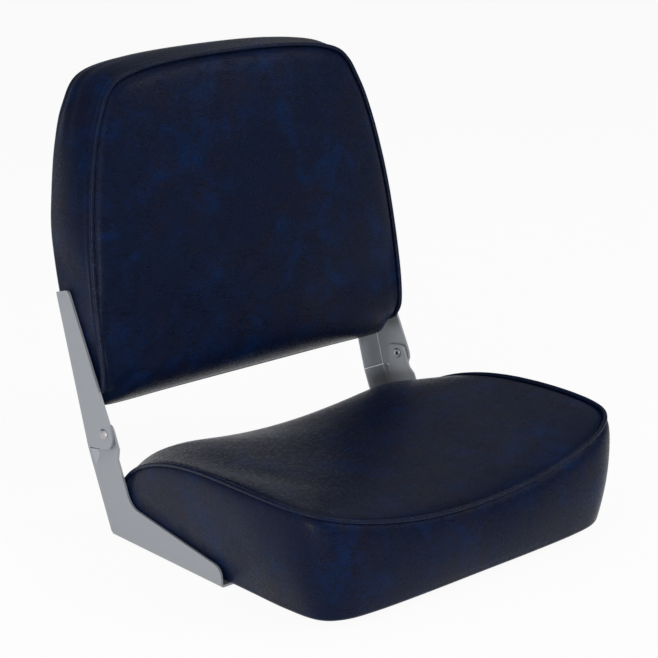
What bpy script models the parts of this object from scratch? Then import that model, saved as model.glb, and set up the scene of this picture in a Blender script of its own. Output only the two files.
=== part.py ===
"""Folding boat seat: a padded seat and a padded back joined by two pressed hinge brackets a side.

Metres, +Z up. The seat faces -Y. The origin is the centre of the bolt pattern, on the plane
that the moulded pan rests on. The back turns about an axis along X through the two pivot rivets.
"""
import math

import bmesh
import bpy
from mathutils import Matrix, Vector

# Clearances between touching pieces, and how far a cutter runs past what it cuts
CLEAR = 0.0003
OVERRUN = 0.004
# How near two points of a turned shape are one, and the angle past which an edge stays sharp
MERGE_WITHIN = 0.00001
SMOOTH_ANGLE = math.radians(40)

# Hinge: outer faces of the upper brackets, and the pivot axis
HINGE_HALF_WIDTH = 0.2055
PIVOT_Y = 0.165
PIVOT_Z = 0.108
SHEET = 0.0025
BEND_RADIUS = 0.0035
BEND_STEPS = 3
FLANGE_WIDTH = 0.0295

# Upper bracket, measured along and square to its own leaning rear flange
UPPER_LEAN = math.radians(17.0)
UPPER_REAR_OFFSET = 0.035
UPPER_REAR_DROP = 0.0115
UPPER_END_DROP = 0.0180
UPPER_END_AHEAD = 0.0156
UPPER_END_RADIUS = 0.0135
UPPER_NECK_RISE = 0.0075
UPPER_NECK_AHEAD = 0.0127
UPPER_NECK_RADIUS = 0.015
UPPER_ABOVE_PIVOT = 0.148
UPPER_TOP_WIDTH = 0.024
UPPER_TOP_RADIUS = 0.006

# Lower bracket: heights above its own bottom face, reaches ahead of the pivot
LOWER_LEAN = math.radians(23.9)
LOWER_REAR_OFFSET = 0.0363
LOWER_FRONT_OFFSET = 0.0117
LOWER_BOTTOM = 0.003
LOWER_REACH = 0.1845
LOWER_TIP_HEIGHT = 0.020
LOWER_TIP_RADIUS = 0.012
LOWER_ARM_HEIGHT = 0.040
LOWER_ARM_RADIUS = 0.020
LOWER_SHOULDER_DROP = 0.0078

# The ear on the lower bracket, round the pivot, set in by one joggle
EAR_FRONT_RISE = 0.0110
EAR_FRONT_RADIUS = 0.007
EAR_REAR_REACH = 0.0145
EAR_REAR_RISE = 0.0072
EAR_REAR_RADIUS = 0.004
EAR_SLOT_DROP = 0.0205
JOGGLE_TOP_DROP = 0.0185
JOGGLE_LENGTH = 0.009
JOGGLE_EDGE = 0.0225
JOGGLE_EDGE_LENGTH = 0.006

# Pivot rivet and its plastic washer
RIVET_RADIUS = 0.0032
RIVET_HEAD_RADIUS = 0.0060
RIVET_HEAD_HEIGHT = 0.0022
RIVET_ROLL_RADIUS = 0.0056
RIVET_ROLL_HEIGHT = 0.0016
RIVET_BORE_RADIUS = 0.0021
RIVET_BORE_DEPTH = 0.0050
# Points of the domed head and of the rolled end, as shares of their radius and height
RIVET_DOME_SHARES = ((0.0, 1.0), (0.45, 0.9), (0.8, 0.6), (1.0, 0.0))
RIVET_ROLL_SHARES = ((0.9, 0.0), (1.0, 0.4), (0.75, 1.0))
RIVET_MOUTH_SHARE = 0.7
WASHER_RADIUS = 0.0085
WASHER_THICKNESS = 0.0008
PIN_CLEAR = 0.0003

# Moulded seat pan
PAN_DECK_HEIGHT = 0.024
PAN_WALL = 0.003
PAN_RIB = 0.0028
PAN_LAND_HEIGHT = 0.0071
PAN_LAND_THICKNESS = 0.006
PAN_EDGE_INSET = 0.007
PAN_BOX_FLANGE_GAP = 0.0145
PAN_BOX_HALF_WIDTH = HINGE_HALF_WIDTH - FLANGE_WIDTH - PAN_BOX_FLANGE_GAP
PAN_BOX_FRONT_MARGIN = 0.037
PAN_BOX_REAR_MARGIN = 0.040
PAN_BOX_RADIUS = 0.020
# The widest space between two ribs outside the bolts
PAN_CELL = 0.040
BOLT_SPACING = 0.127
BOSS_RADIUS = 0.011
PAD_HALF_WIDTH = 0.0212
PAD_RECESS_WALL = 0.004
SCREW_BOSS_RADIUS = 0.0065
SCREW_BOSS_HEIGHT = 0.007

# Tee nuts that take the mounting bolts
NUT_FLANGE_RADIUS = 0.0095
NUT_FLANGE_THICKNESS = 0.0016
NUT_BARREL_RADIUS = 0.0040
NUT_BARREL_LENGTH = 0.0140
NUT_BORE_RADIUS = 0.0027

# Bracket screws
SCREW_RADIUS = 0.0021
SCREW_LENGTH = 0.0130
SCREW_TIP = 0.003
SCREW_HEAD_RADIUS = 0.0046
SCREW_HEAD_HEIGHT = 0.0021
# Points of the domed head, as shares of its radius and height
SCREW_DOME_SHARES = ((0.0, 1.0), (0.6, 0.85), (1.0, 0.0))
SCREW_EDGE = 0.0215
LOWER_SCREWS = 3
LOWER_SCREW_FRONT_MARGIN = 0.020
LOWER_SCREW_REAR_MARGIN = 0.036
UPPER_SCREWS = 3
UPPER_SCREW_FIRST = 0.070
UPPER_SCREW_PITCH = 0.032

# Sewn cover, welt piping and foam
COVER = 0.001
FOAM_INSET = 0.0020
PIPE_RADIUS = 0.0026
PIPE_SEAM = 0.0031
PIPE_PROUD = 0.0017
PIPE_INSET = 0.0015
HEM_WIDTH = 0.022
ROLL_RADIUS = 0.006
ROLL_STEPS = 2

# Seat cushion: its top stands out past the brackets and its base is held between them
SEAT_TOP_PROUD = 0.0105
SEAT_BASE_INSET = 0.0070
SEAT_HALF_WIDTH = HINGE_HALF_WIDTH + SEAT_TOP_PROUD
SEAT_BASE_HALF_WIDTH = HINGE_HALF_WIDTH - SEAT_BASE_INSET
SEAT_BASE_REACH = 0.3300
SEAT_FRONT_RAKE = 0.0020
SEAT_FRONT_REACH = SEAT_BASE_REACH - SEAT_FRONT_RAKE
SEAT_MID_HEIGHT = 0.079
SEAT_SIDE_RISE = 0.0395
SEAT_REAR_HEIGHT = 0.044
SEAT_CROWN = 0.012
SEAT_FRONT_BULGE = 0.005
SEAT_SIDE_BULGE = 0.002

# Back cushion, measured from the pivot
BACK_LEAN = math.radians(8.95)
BACK_FACE_AHEAD = 0.0114
BACK_BOTTOM = 0.026
BACK_HEIGHT = 0.3320
BACK_FRONT_INSET = 0.0010
BACK_REAR_INSET = 0.0033
BACK_HALF_WIDTH = HINGE_HALF_WIDTH - BACK_FRONT_INSET
BACK_REAR_HALF_WIDTH = HINGE_HALF_WIDTH - BACK_REAR_INSET
BACK_CROWN = 0.012
BACK_ROLL = 0.016
BACK_BULGE = 0.004
BACK_KNEE_HEIGHT = 0.140
BACK_KNEE_LENGTH = 0.055
BACK_KNEE_LEAN = math.radians(14.0)
BACK_TOP_LEAN = math.radians(5.8)
BOARD_THICKNESS = 0.010
BOARD_INSET = 0.008
BOARD_POCKET_DEPTH = 0.006
BOARD_RIB = 0.004
BOARD_POCKET_TOP = 0.270
BOARD_POCKET_WIDTH = 0.130
BOARD_POCKET_COLUMNS = 2
BOARD_POCKET_ROWS = 3
BOARD_POCKET_BOTTOM = 0.150

# Half outlines from the rear or bottom centre to the front or top centre, as shares of the
# half width and of the depth or height; each is mirrored to make the whole outline
SEAT_TOP_SHARES = (
    (0.0, 0.0), (0.52, 0.0), (0.80, 0.012), (0.880, 0.050), (0.905, 0.110), (0.945, 0.250),
    (0.978, 0.440), (0.998, 0.640), (0.998, 0.800), (0.962, 0.915), (0.860, 0.968),
    (0.690, 0.990), (0.380, 1.0), (0.0, 1.0),
)
SEAT_BASE_SHARES = (
    (0.0, 0.0), (0.52, 0.0), (0.85, 0.005), (0.955, 0.040), (0.985, 0.110), (1.0, 0.260),
    (1.0, 0.440), (0.998, 0.640), (0.995, 0.800), (0.965, 0.920), (0.865, 0.975),
    (0.690, 0.994), (0.380, 1.0), (0.0, 1.0),
)
BACK_SHARES = (
    (0.0, 0.0), (0.50, 0.0), (0.86, 0.003), (0.932, 0.018), (0.959, 0.046), (0.987, 0.100),
    (0.993, 0.270), (0.974, 0.475), (0.938, 0.630), (0.890, 0.760), (0.825, 0.868),
    (0.715, 0.955), (0.430, 0.991), (0.0, 1.0),
)
# The rear outline of the back has squarer corners
BACK_REAR_SHARES = (
    (0.0, 0.0), (0.50, 0.0), (0.88, 0.0), (0.960, 0.002), (0.977, 0.028), (0.981, 0.084),
    (1.0, 0.270), (0.988, 0.475), (0.955, 0.630), (0.912, 0.760), (0.848, 0.870),
    (0.730, 0.957), (0.435, 0.989), (0.0, 0.997),
)
OUTLINE_STEPS = 2
# The span of the back's outline where its piping turns to the rear, counted in samples
BACK_TURN = 8
TURN_SEAM_SHARE = 0.54
# Where the rings of a padded face lie, from its seam to its centre
FACE_RING_SHARES = (0.07, 0.17, 0.32, 0.54, 0.78)
# Where the rings of a side band lie, from the piping to the far edge
BAND_RING_SHARES = (0.25, 0.55, 0.82)
SADDLE_POWER = 2.0
REAR_FALL_SHARE = 0.75
REAR_FALL_POWER = 2.9
REAR_FALL_GAIN = 1.10
CROWN_POWER = 3.0
SEAT_EDGE_POWER = 8.0
BACK_EDGE_POWER = 9.0
BACK_ROLL_SHARE = 0.13
ROUND_STEPS = 16
SCREW_STEPS = 10
ARC_STEPS = 4

MATERIALS = {
    "navy_vinyl": ((0.010, 0.015, 0.045), 0.42, 0.0),
    "piping_vinyl": ((0.012, 0.017, 0.048), 0.38, 0.0),
    "cream_foam": ((0.70, 0.62, 0.42), 0.95, 0.0),
    "black_plastic": ((0.025, 0.025, 0.027), 0.55, 0.0),
    "bracket_grey": ((0.42, 0.43, 0.45), 0.45, 0.6),
    "bright_steel": ((0.60, 0.60, 0.62), 0.30, 1.0),
    "washer_nylon": ((0.55, 0.55, 0.52), 0.50, 0.0),
}


def clear_scene():
    """Remove the objects and collections that the file opened with."""
    for item in list(bpy.data.objects):
        bpy.data.objects.remove(item, do_unlink=True)
    for group in list(bpy.data.collections):
        bpy.data.collections.remove(group)


def new_collection(name):
    """Return a new collection linked to the scene."""
    group = bpy.data.collections.new(name)
    bpy.context.scene.collection.children.link(group)
    return group


clear_scene()
PARTS = new_collection("folding_boat_seat")
CUTTERS = new_collection("cutters")


def material(name):
    """Return the named finish, made on first use."""
    found = bpy.data.materials.get(name)
    if found:
        return found
    colour, roughness, metallic = MATERIALS[name]
    made = bpy.data.materials.new(name)
    made.use_nodes = True
    shader = made.node_tree.nodes["Principled BSDF"]
    shader.inputs["Base Color"].default_value = (*colour, 1.0)
    shader.inputs["Roughness"].default_value = roughness
    shader.inputs["Metallic"].default_value = metallic
    return made


def object_from(bm, name, finish=None):
    """Make a mesh object; with a finish it is a part, and without one a cutter."""
    mesh = bpy.data.meshes.new(name)
    bm.to_mesh(mesh)
    bm.free()
    made = bpy.data.objects.new(name, mesh)
    if finish:
        PARTS.objects.link(made)
        mesh.materials.append(material(finish))
    else:
        CUTTERS.objects.link(made)
        made.hide_render = True
        made.display_type = "WIRE"
    return made


def smooth(mesh):
    """Shade a round piece's mesh smooth, with its hard edges kept sharp."""
    mesh.shade_smooth()
    mesh.set_sharp_from_angle(angle=SMOOTH_ANGLE)


def evaluated(made):
    """Return a bmesh of an object as its modifiers leave it, in world space."""
    bpy.context.view_layer.update()
    graph = bpy.context.evaluated_depsgraph_get()
    mesh = bpy.data.meshes.new_from_object(made.evaluated_get(graph))
    bm = bmesh.new()
    bm.from_mesh(mesh)
    bm.transform(made.matrix_world)
    bpy.data.meshes.remove(mesh)
    return bm


def boolean(made, cutter, operation="DIFFERENCE"):
    """Cut a part with another object, or join the two."""
    step = made.modifiers.new(operation.title(), "BOOLEAN")
    step.operation = operation
    step.object = cutter
    step.solver = "EXACT"


def shell(made, thickness):
    """Give an open surface a wall on its inner side."""
    wall = made.modifiers.new("Wall", "SOLIDIFY")
    wall.thickness = thickness
    wall.offset = -1.0
    wall.use_even_offset = True


def face_outwards(bm, centre):
    """Turn the faces of a surface away from a point that it goes round."""
    bmesh.ops.recalc_face_normals(bm, faces=bm.faces)
    total = sum(face.normal.dot(face.calc_center_median() - centre) * face.calc_area()
                for face in bm.faces)
    if total < 0:
        bmesh.ops.reverse_faces(bm, faces=bm.faces)


def within(points, margin):
    """Shrink a closed outline to leave about a margin inside its sides, top and bottom."""
    low = Vector((min(point.x for point in points), min(point.y for point in points)))
    high = Vector((max(point.x for point in points), max(point.y for point in points)))
    middle = (low + high) / 2
    half = (high - low) / 2
    across = (half.x - margin) / half.x
    along = (half.y - margin) / half.y
    return [Vector((middle.x + (point.x - middle.x) * across,
                    middle.y + (point.y - middle.y) * along)) for point in points]


def beside(ring, distance, direction):
    """Return a ring moved by a distance, square to its own run, towards a direction.

    direction gives the vector for each point of the ring.
    """
    count = len(ring)
    moved = []
    for index, point in enumerate(ring):
        along = (ring[(index + 1) % count] - ring[index - 1]).normalized()
        way = direction(point)
        way = way - along * way.dot(along)
        moved.append(point + way.normalized() * distance)
    return moved


def loft(loops, keep=None, tip=None, close_end=False):
    """Skin a row of loops with triangles; keep chooses the quads that are made."""
    bm = bmesh.new()
    rings = [[bm.verts.new(point) for point in loop] for loop in loops]
    count = len(loops[0])
    for row in range(len(rings) - 1):
        for column in range(count):
            if keep and not keep(row, column):
                continue
            after = (column + 1) % count
            bm.faces.new((rings[row][column], rings[row][after],
                          rings[row + 1][after], rings[row + 1][column]))
    if tip is not None:
        top = bm.verts.new(tip)
        for column in range(count):
            bm.faces.new((top, rings[0][(column + 1) % count], rings[0][column]))
    bmesh.ops.triangulate(bm, faces=bm.faces, quad_method="FIXED")
    if close_end:
        bm.faces.new(rings[-1])
    loose = [vert for vert in bm.verts if not vert.link_faces]
    bmesh.ops.delete(bm, geom=loose, context="VERTS")
    return bm


def mix(first, second, share):
    """Return the value a share of the way from the first to the second."""
    return first + (second - first) * share


def ease(share):
    """Return a share eased at both ends and held between 0 and 1."""
    held = min(1.0, max(0.0, share))
    return held * held * (3.0 - 2.0 * held)


def catmull(before, start, end, after, share):
    """Return a point on the smooth curve through start and end."""
    square = share * share
    cube = square * share
    return 0.5 * (2.0 * start + (end - before) * share
                  + (2.0 * before - 5.0 * start + 4.0 * end - after) * square
                  + (3.0 * start - before - 3.0 * end + after) * cube)


def full_outline(half):
    """Mirror a half outline of shares and draw a smooth closed curve through it."""
    right = [Vector(pair) for pair in half]
    left = [Vector((-point.x, point.y)) for point in reversed(right[1:-1])]
    keys = right + left
    count = len(keys)
    points = []
    for index in range(count):
        around = [keys[(index + step) % count] for step in (-1, 0, 1, 2)]
        for step in range(OUTLINE_STEPS):
            points.append(catmull(*around, step / OUTLINE_STEPS))
    return points


def inset(points, distance):
    """Move a closed outline, seen anticlockwise or not, inwards by a distance."""
    count = len(points)
    middle = sum(points, Vector((0.0, 0.0))) / count
    moved = []
    for index, point in enumerate(points):
        along = points[(index + 1) % count] - points[index - 1]
        normal = Vector((along.y, -along.x)).normalized()
        if normal.dot(point - middle) < 0:
            normal.negate()
        moved.append(point - normal * distance)
    return moved


def rounded_polygon(corners):
    """Return the points of a polygon whose corners (x, y, radius) are rounded by arcs."""
    points = []
    count = len(corners)
    for index, (x, y, radius) in enumerate(corners):
        here = Vector((x, y))
        before = Vector(corners[index - 1][:2]) - here
        after = Vector(corners[(index + 1) % count][:2]) - here
        if radius <= 0:
            points.append(here)
            continue
        before.normalize()
        after.normalize()
        half = before.angle(after) / 2
        centre = here + (before + after).normalized() * (radius / math.sin(half))
        first = here + before * (radius / math.tan(half)) - centre
        last = here + after * (radius / math.tan(half)) - centre
        turn = first.angle_signed(last)
        for step in range(ARC_STEPS + 1):
            spoke = first.copy()
            spoke.rotate(Matrix.Rotation(-turn * step / ARC_STEPS, 2))
            points.append(centre + spoke)
    return points


def prism(points, low, high):
    """Return a bmesh of a flat outline raised from one height to another."""
    bm = bmesh.new()
    base = bm.faces.new([bm.verts.new((point.x, point.y, low)) for point in points])
    raised = bmesh.ops.extrude_face_region(bm, geom=[base])
    tops = [item for item in raised["geom"] if isinstance(item, bmesh.types.BMVert)]
    bmesh.ops.translate(bm, verts=tops, vec=(0.0, 0.0, high - low))
    bmesh.ops.recalc_face_normals(bm, faces=bm.faces)
    return bm


def box(low, high):
    """Return a bmesh of a box between two corners."""
    bm = bmesh.new()
    bmesh.ops.create_cube(bm, size=1.0)
    low = Vector(low)
    high = Vector(high)
    size = high - low
    bmesh.ops.scale(bm, vec=size, verts=bm.verts)
    bmesh.ops.translate(bm, vec=(low + high) / 2, verts=bm.verts)
    return bm


def rod(start, end, radius, steps=ROUND_STEPS):
    """Return a bmesh of a round rod between two points."""
    start = Vector(start)
    end = Vector(end)
    along = end - start
    bm = bmesh.new()
    bmesh.ops.create_cone(bm, cap_ends=True, segments=steps, radius1=radius, radius2=radius,
                          depth=along.length)
    turn = Vector((0, 0, 1)).rotation_difference(along).to_matrix().to_4x4()
    bm.transform(Matrix.Translation((start + end) / 2) @ turn)
    return bm


def turned(profile, closed, steps=ROUND_STEPS):
    """Return a bmesh of a profile in radius and height, turned round Z."""
    bm = bmesh.new()
    points = [bm.verts.new((radius, 0.0, height)) for radius, height in profile]
    for index in range(len(points) - 1):
        bm.edges.new((points[index], points[index + 1]))
    if closed:
        bm.edges.new((points[-1], points[0]))
    made = object_from(bm, "turned_profile")
    screw = made.modifiers.new("Turn", "SCREW")
    screw.steps = steps
    screw.render_steps = steps
    screw.use_merge_vertices = True
    screw.merge_threshold = MERGE_WITHIN
    result = evaluated(made)
    bmesh.ops.recalc_face_normals(result, faces=result.faces)
    bpy.data.objects.remove(made, do_unlink=True)
    return result


def scaled(shares, radius, height, base=0.0):
    """Return profile points from shares of a radius and a height above a base."""
    return [(across * radius, base + up * height) for across, up in shares]


def aim(direction, place):
    """Return the matrix that turns +Z to a direction and moves to a place."""
    turn = Vector((0, 0, 1)).rotation_difference(Vector(direction)).to_matrix().to_4x4()
    return Matrix.Translation(place) @ turn


def mirrored(made, name):
    """Make the left-hand copy of a right-hand part from its evaluated shape."""
    bm = evaluated(made)
    bm.transform(Matrix.Scale(-1.0, 4, (1, 0, 0)))
    bmesh.ops.reverse_faces(bm, faces=bm.faces)
    return object_from(bm, name, made.data.materials[0].name)


# Places on the hinge


def upper_point(along, rearward, x):
    """Return a world point from the upper bracket's own directions, from the pivot."""
    return Vector((x,
                   PIVOT_Y + along * math.sin(UPPER_LEAN) + rearward * math.cos(UPPER_LEAN),
                   PIVOT_Z + along * math.cos(UPPER_LEAN) - rearward * math.sin(UPPER_LEAN)))


def lower_along(point):
    """Return how far a point lies up the lower bracket's rear flange from the pivot."""
    return ((point.y - PIVOT_Y) * math.sin(LOWER_LEAN)
            + (point.z - PIVOT_Z) * math.cos(LOWER_LEAN))


def lower_rearward(point):
    """Return how far a point lies behind the pivot, square to the lower rear flange."""
    return ((point.y - PIVOT_Y) * math.cos(LOWER_LEAN)
            - (point.z - PIVOT_Z) * math.sin(LOWER_LEAN))


def lower_line_y(offset, height):
    """Return where a line along the lower rear flange passes a height."""
    return PIVOT_Y + (offset + (height - PIVOT_Z) * math.sin(LOWER_LEAN)) / math.cos(LOWER_LEAN)


def upper_line_y(offset, height):
    """Return where a line along the upper rear flange passes a height."""
    return PIVOT_Y + (offset + (height - PIVOT_Z) * math.sin(UPPER_LEAN)) / math.cos(UPPER_LEAN)


EAR_INSET = SHEET + WASHER_THICKNESS + 2 * CLEAR
SCREW_X = HINGE_HALF_WIDTH - SCREW_EDGE


def spin_flange(bm, edges, centre, axis, inward, width):
    """Bend the sheet at some edges by a right angle and run it on as a flange."""
    verts = {vert for edge in edges for vert in edge.verts}
    bent = bmesh.ops.spin(bm, geom=list(edges) + list(verts), cent=centre, axis=axis,
                          angle=math.pi / 2, steps=BEND_STEPS, use_duplicate=False)
    last = [item for item in bent["geom_last"] if isinstance(item, bmesh.types.BMEdge)]
    run = bmesh.ops.extrude_edge_only(bm, edges=last)
    ends = [item for item in run["geom"] if isinstance(item, bmesh.types.BMVert)]
    bmesh.ops.translate(bm, verts=ends, vec=inward * (width - BEND_RADIUS))


def edges_where(bm, test):
    """Return the boundary edges whose two ends both pass a test."""
    return [edge for edge in bm.edges
            if edge.is_boundary and all(test(vert.co) for vert in edge.verts)]


def outward_sheet(bm, face):
    """Turn a sheet so that its side plate faces away from the seat."""
    bmesh.ops.recalc_face_normals(bm, faces=bm.faces)
    face.normal_update()
    if face.normal.x < 0:
        bmesh.ops.reverse_faces(bm, faces=bm.faces)


def hole_cutter(name, bms):
    """Join the cutters for one part into a single object."""
    bm = bmesh.new()
    for piece in bms:
        mesh = bpy.data.meshes.new("cut")
        piece.to_mesh(mesh)
        piece.free()
        bm.from_mesh(mesh)
        bpy.data.meshes.remove(mesh)
    return object_from(bm, name)


def pivot_hole(radius):
    """Return a rod along the pivot axis, long enough to pass both brackets."""
    reach = SHEET + EAR_INSET + OVERRUN
    return rod((HINGE_HALF_WIDTH + OVERRUN, PIVOT_Y, PIVOT_Z),
               (HINGE_HALF_WIDTH - reach, PIVOT_Y, PIVOT_Z), radius)


def upper_screw_places():
    """Return the middles of the upper screws on the rear face of the right flange."""
    return [upper_point(UPPER_SCREW_FIRST + index * UPPER_SCREW_PITCH, UPPER_REAR_OFFSET, SCREW_X)
            for index in range(UPPER_SCREWS)]


def lower_screw_places():
    """Return the middles of the lower screws on the bottom face of the right flange."""
    front = PIVOT_Y - LOWER_REACH + LOWER_SCREW_FRONT_MARGIN
    rear = lower_line_y(LOWER_REAR_OFFSET, LOWER_BOTTOM) - LOWER_SCREW_REAR_MARGIN
    return [Vector((SCREW_X, mix(front, rear, index / (LOWER_SCREWS - 1)), LOWER_BOTTOM))
            for index in range(LOWER_SCREWS)]


UPPER_REARWARD = Vector((0.0, math.cos(UPPER_LEAN), -math.sin(UPPER_LEAN)))
DOWNWARD = Vector((0.0, 0.0, -1.0))


def upper_bracket():
    """The back's bracket: a tapering side plate round the pivot and a rear flange."""
    bend = UPPER_REAR_OFFSET - BEND_RADIUS
    corners = [
        (-UPPER_REAR_DROP, bend, 0.0),
        (-UPPER_END_DROP, -UPPER_END_AHEAD, UPPER_END_RADIUS),
        (UPPER_NECK_RISE, -UPPER_NECK_AHEAD, UPPER_NECK_RADIUS),
        (UPPER_ABOVE_PIVOT, UPPER_REAR_OFFSET - UPPER_TOP_WIDTH, UPPER_TOP_RADIUS),
        (UPPER_ABOVE_PIVOT, bend, 0.0),
    ]
    bm = bmesh.new()
    side = bm.faces.new([bm.verts.new(upper_point(point.x, point.y, HINGE_HALF_WIDTH))
                         for point in rounded_polygon(corners)])
    side.normal_update()
    if side.normal.x < 0:
        side.normal_flip()
    start = upper_point(0.0, bend, HINGE_HALF_WIDTH)
    along = upper_point(1.0, bend, HINGE_HALF_WIDTH) - start
    rear_edges = edges_where(bm, lambda co: abs((co - start).dot(UPPER_REARWARD)) < CLEAR)
    inward = Vector((-1.0, 0.0, 0.0))
    spin_flange(bm, rear_edges, start + inward * BEND_RADIUS, along, inward, FLANGE_WIDTH)
    outward_sheet(bm, side)
    made = object_from(bm, "upper_bracket_right", "bracket_grey")
    shell(made, SHEET)
    holes = [pivot_hole(RIVET_RADIUS + PIN_CLEAR)]
    for place in upper_screw_places():
        holes.append(rod(place + UPPER_REARWARD * OVERRUN, place - UPPER_REARWARD * (SHEET + OVERRUN),
                         SCREW_RADIUS + CLEAR))
    boolean(made, hole_cutter("upper_bracket_holes", holes))
    return made


def lower_bracket():
    """The seat's bracket: ear, shoulder, rear flange, long arm and bottom flange."""
    bend = LOWER_REAR_OFFSET - BEND_RADIUS
    floor = LOWER_BOTTOM + BEND_RADIUS
    shoulder_y = (PIVOT_Y - LOWER_SHOULDER_DROP * math.sin(LOWER_LEAN)
                  + bend * math.cos(LOWER_LEAN))
    shoulder_z = (PIVOT_Z - LOWER_SHOULDER_DROP * math.cos(LOWER_LEAN)
                  - bend * math.sin(LOWER_LEAN))
    arm = LOWER_BOTTOM + LOWER_ARM_HEIGHT
    brow = PIVOT_Z + EAR_FRONT_RISE
    corners = [
        (lower_line_y(bend, floor), floor, 0.0),
        (PIVOT_Y - LOWER_REACH, floor, 0.0),
        (PIVOT_Y - LOWER_REACH, LOWER_BOTTOM + LOWER_TIP_HEIGHT, LOWER_TIP_RADIUS),
        (lower_line_y(-LOWER_FRONT_OFFSET, arm), arm, LOWER_ARM_RADIUS),
        (lower_line_y(-LOWER_FRONT_OFFSET, brow), brow, EAR_FRONT_RADIUS),
        (PIVOT_Y + EAR_REAR_REACH, PIVOT_Z + EAR_REAR_RISE, EAR_REAR_RADIUS),
        (PIVOT_Y + EAR_REAR_REACH, PIVOT_Z - EAR_SLOT_DROP, 0.0),
        (shoulder_y, shoulder_z, 0.0),
    ]
    bm = bmesh.new()
    side = bm.faces.new([bm.verts.new((HINGE_HALF_WIDTH, point.x, point.y))
                         for point in rounded_polygon(corners)])
    side.normal_update()
    if side.normal.x < 0:
        side.normal_flip()
    pivot = Vector((0.0, PIVOT_Y, PIVOT_Z))
    up = Vector((0.0, math.sin(LOWER_LEAN), math.cos(LOWER_LEAN)))
    rearward = Vector((0.0, math.cos(LOWER_LEAN), -math.sin(LOWER_LEAN)))
    cuts = [(pivot - up * JOGGLE_TOP_DROP, up), (pivot - up * (JOGGLE_TOP_DROP + JOGGLE_LENGTH), up),
            (pivot + rearward * JOGGLE_EDGE, rearward),
            (pivot + rearward * (JOGGLE_EDGE + JOGGLE_EDGE_LENGTH), rearward)]
    for place, normal in cuts:
        everything = list(bm.verts) + list(bm.edges) + list(bm.faces)
        bmesh.ops.bisect_plane(bm, geom=everything, plane_co=place, plane_no=normal)
    for vert in bm.verts:
        rise = ease((lower_along(vert.co) + JOGGLE_TOP_DROP + JOGGLE_LENGTH) / JOGGLE_LENGTH)
        edge = ease((JOGGLE_EDGE + JOGGLE_EDGE_LENGTH - lower_rearward(vert.co))
                    / JOGGLE_EDGE_LENGTH)
        vert.co.x -= EAR_INSET * rise * edge
    inward = Vector((-1.0, 0.0, 0.0))
    line = Vector((HINGE_HALF_WIDTH, lower_line_y(bend, floor), floor))
    rear_edges = edges_where(bm, lambda co: abs(lower_rearward(co) - bend) < CLEAR)
    bottom_edges = edges_where(bm, lambda co: abs(co.z - floor) < CLEAR)
    spin_flange(bm, rear_edges, line + inward * BEND_RADIUS, up, inward, FLANGE_WIDTH)
    spin_flange(bm, bottom_edges, line + inward * BEND_RADIUS, Vector((0.0, 1.0, 0.0)),
                inward, FLANGE_WIDTH)
    outward_sheet(bm, max(bm.faces, key=lambda face: face.calc_center_median().x))
    made = object_from(bm, "lower_bracket_right", "bracket_grey")
    shell(made, SHEET)
    holes = [pivot_hole(RIVET_RADIUS + PIN_CLEAR)]
    for place in lower_screw_places():
        holes.append(rod(place + DOWNWARD * OVERRUN, place - DOWNWARD * (SHEET + OVERRUN),
                         SCREW_RADIUS + CLEAR))
    boolean(made, hole_cutter("lower_bracket_holes", holes))
    return made


def pivot_rivet():
    """A semi-tubular rivet: domed head outside, rolled hollow end inside the ear."""
    grip = SHEET + EAR_INSET + 2 * CLEAR
    end = -grip - RIVET_ROLL_HEIGHT
    profile = [
        *scaled(RIVET_DOME_SHARES, RIVET_HEAD_RADIUS, RIVET_HEAD_HEIGHT),
        (RIVET_RADIUS, 0.0), (RIVET_RADIUS, -grip),
        *scaled(RIVET_ROLL_SHARES, RIVET_ROLL_RADIUS, -RIVET_ROLL_HEIGHT, -grip),
        (RIVET_BORE_RADIUS, mix(-grip, end, RIVET_MOUTH_SHARE)),
        (RIVET_BORE_RADIUS, end + RIVET_BORE_DEPTH),
        (0.0, end + RIVET_BORE_DEPTH),
    ]
    bm = turned(profile, closed=False)
    bm.transform(aim((1, 0, 0), (HINGE_HALF_WIDTH + CLEAR, PIVOT_Y, PIVOT_Z)))
    made = object_from(bm, "pivot_rivet_right", "bright_steel")
    smooth(made.data)
    return made


def pivot_washer():
    """The thin plastic washer that the two brackets turn on."""
    inner = RIVET_RADIUS + PIN_CLEAR
    profile = [(inner, WASHER_THICKNESS), (WASHER_RADIUS, WASHER_THICKNESS),
               (WASHER_RADIUS, 0.0), (inner, 0.0)]
    bm = turned(profile, closed=True)
    face = HINGE_HALF_WIDTH - SHEET - CLEAR - WASHER_THICKNESS
    bm.transform(aim((1, 0, 0), (face, PIVOT_Y, PIVOT_Z)))
    made = object_from(bm, "pivot_washer_right", "washer_nylon")
    smooth(made.data)
    return made


def turned_mesh(name, profile, closed, steps=ROUND_STEPS):
    """Return a smooth mesh of a turned piece, to be shared by its copies."""
    bm = turned(profile, closed, steps)
    mesh = bpy.data.meshes.new(name)
    bm.to_mesh(mesh)
    bm.free()
    mesh.materials.append(material("bright_steel"))
    smooth(mesh)
    return mesh


def copies(name, mesh, matrices):
    """Place a numbered copy of a shared mesh at each matrix."""
    for index, place in enumerate(matrices):
        made = bpy.data.objects.new(f"{name}_{index + 1}", mesh)
        made.matrix_world = place
        PARTS.objects.link(made)


def screws(name, places, outward):
    """The screws of one kind, heads against the flanges, on both sides of the seat."""
    profile = [
        *scaled(SCREW_DOME_SHARES, SCREW_HEAD_RADIUS, SCREW_HEAD_HEIGHT),
        (SCREW_RADIUS, 0.0), (SCREW_RADIUS, SCREW_TIP - SCREW_LENGTH), (0.0, -SCREW_LENGTH),
    ]
    mesh = turned_mesh(name, profile, False, SCREW_STEPS)
    copies(name, mesh, [aim(outward, place + outward * CLEAR) for place in both_sides(places)])


# Seat cushion


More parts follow.
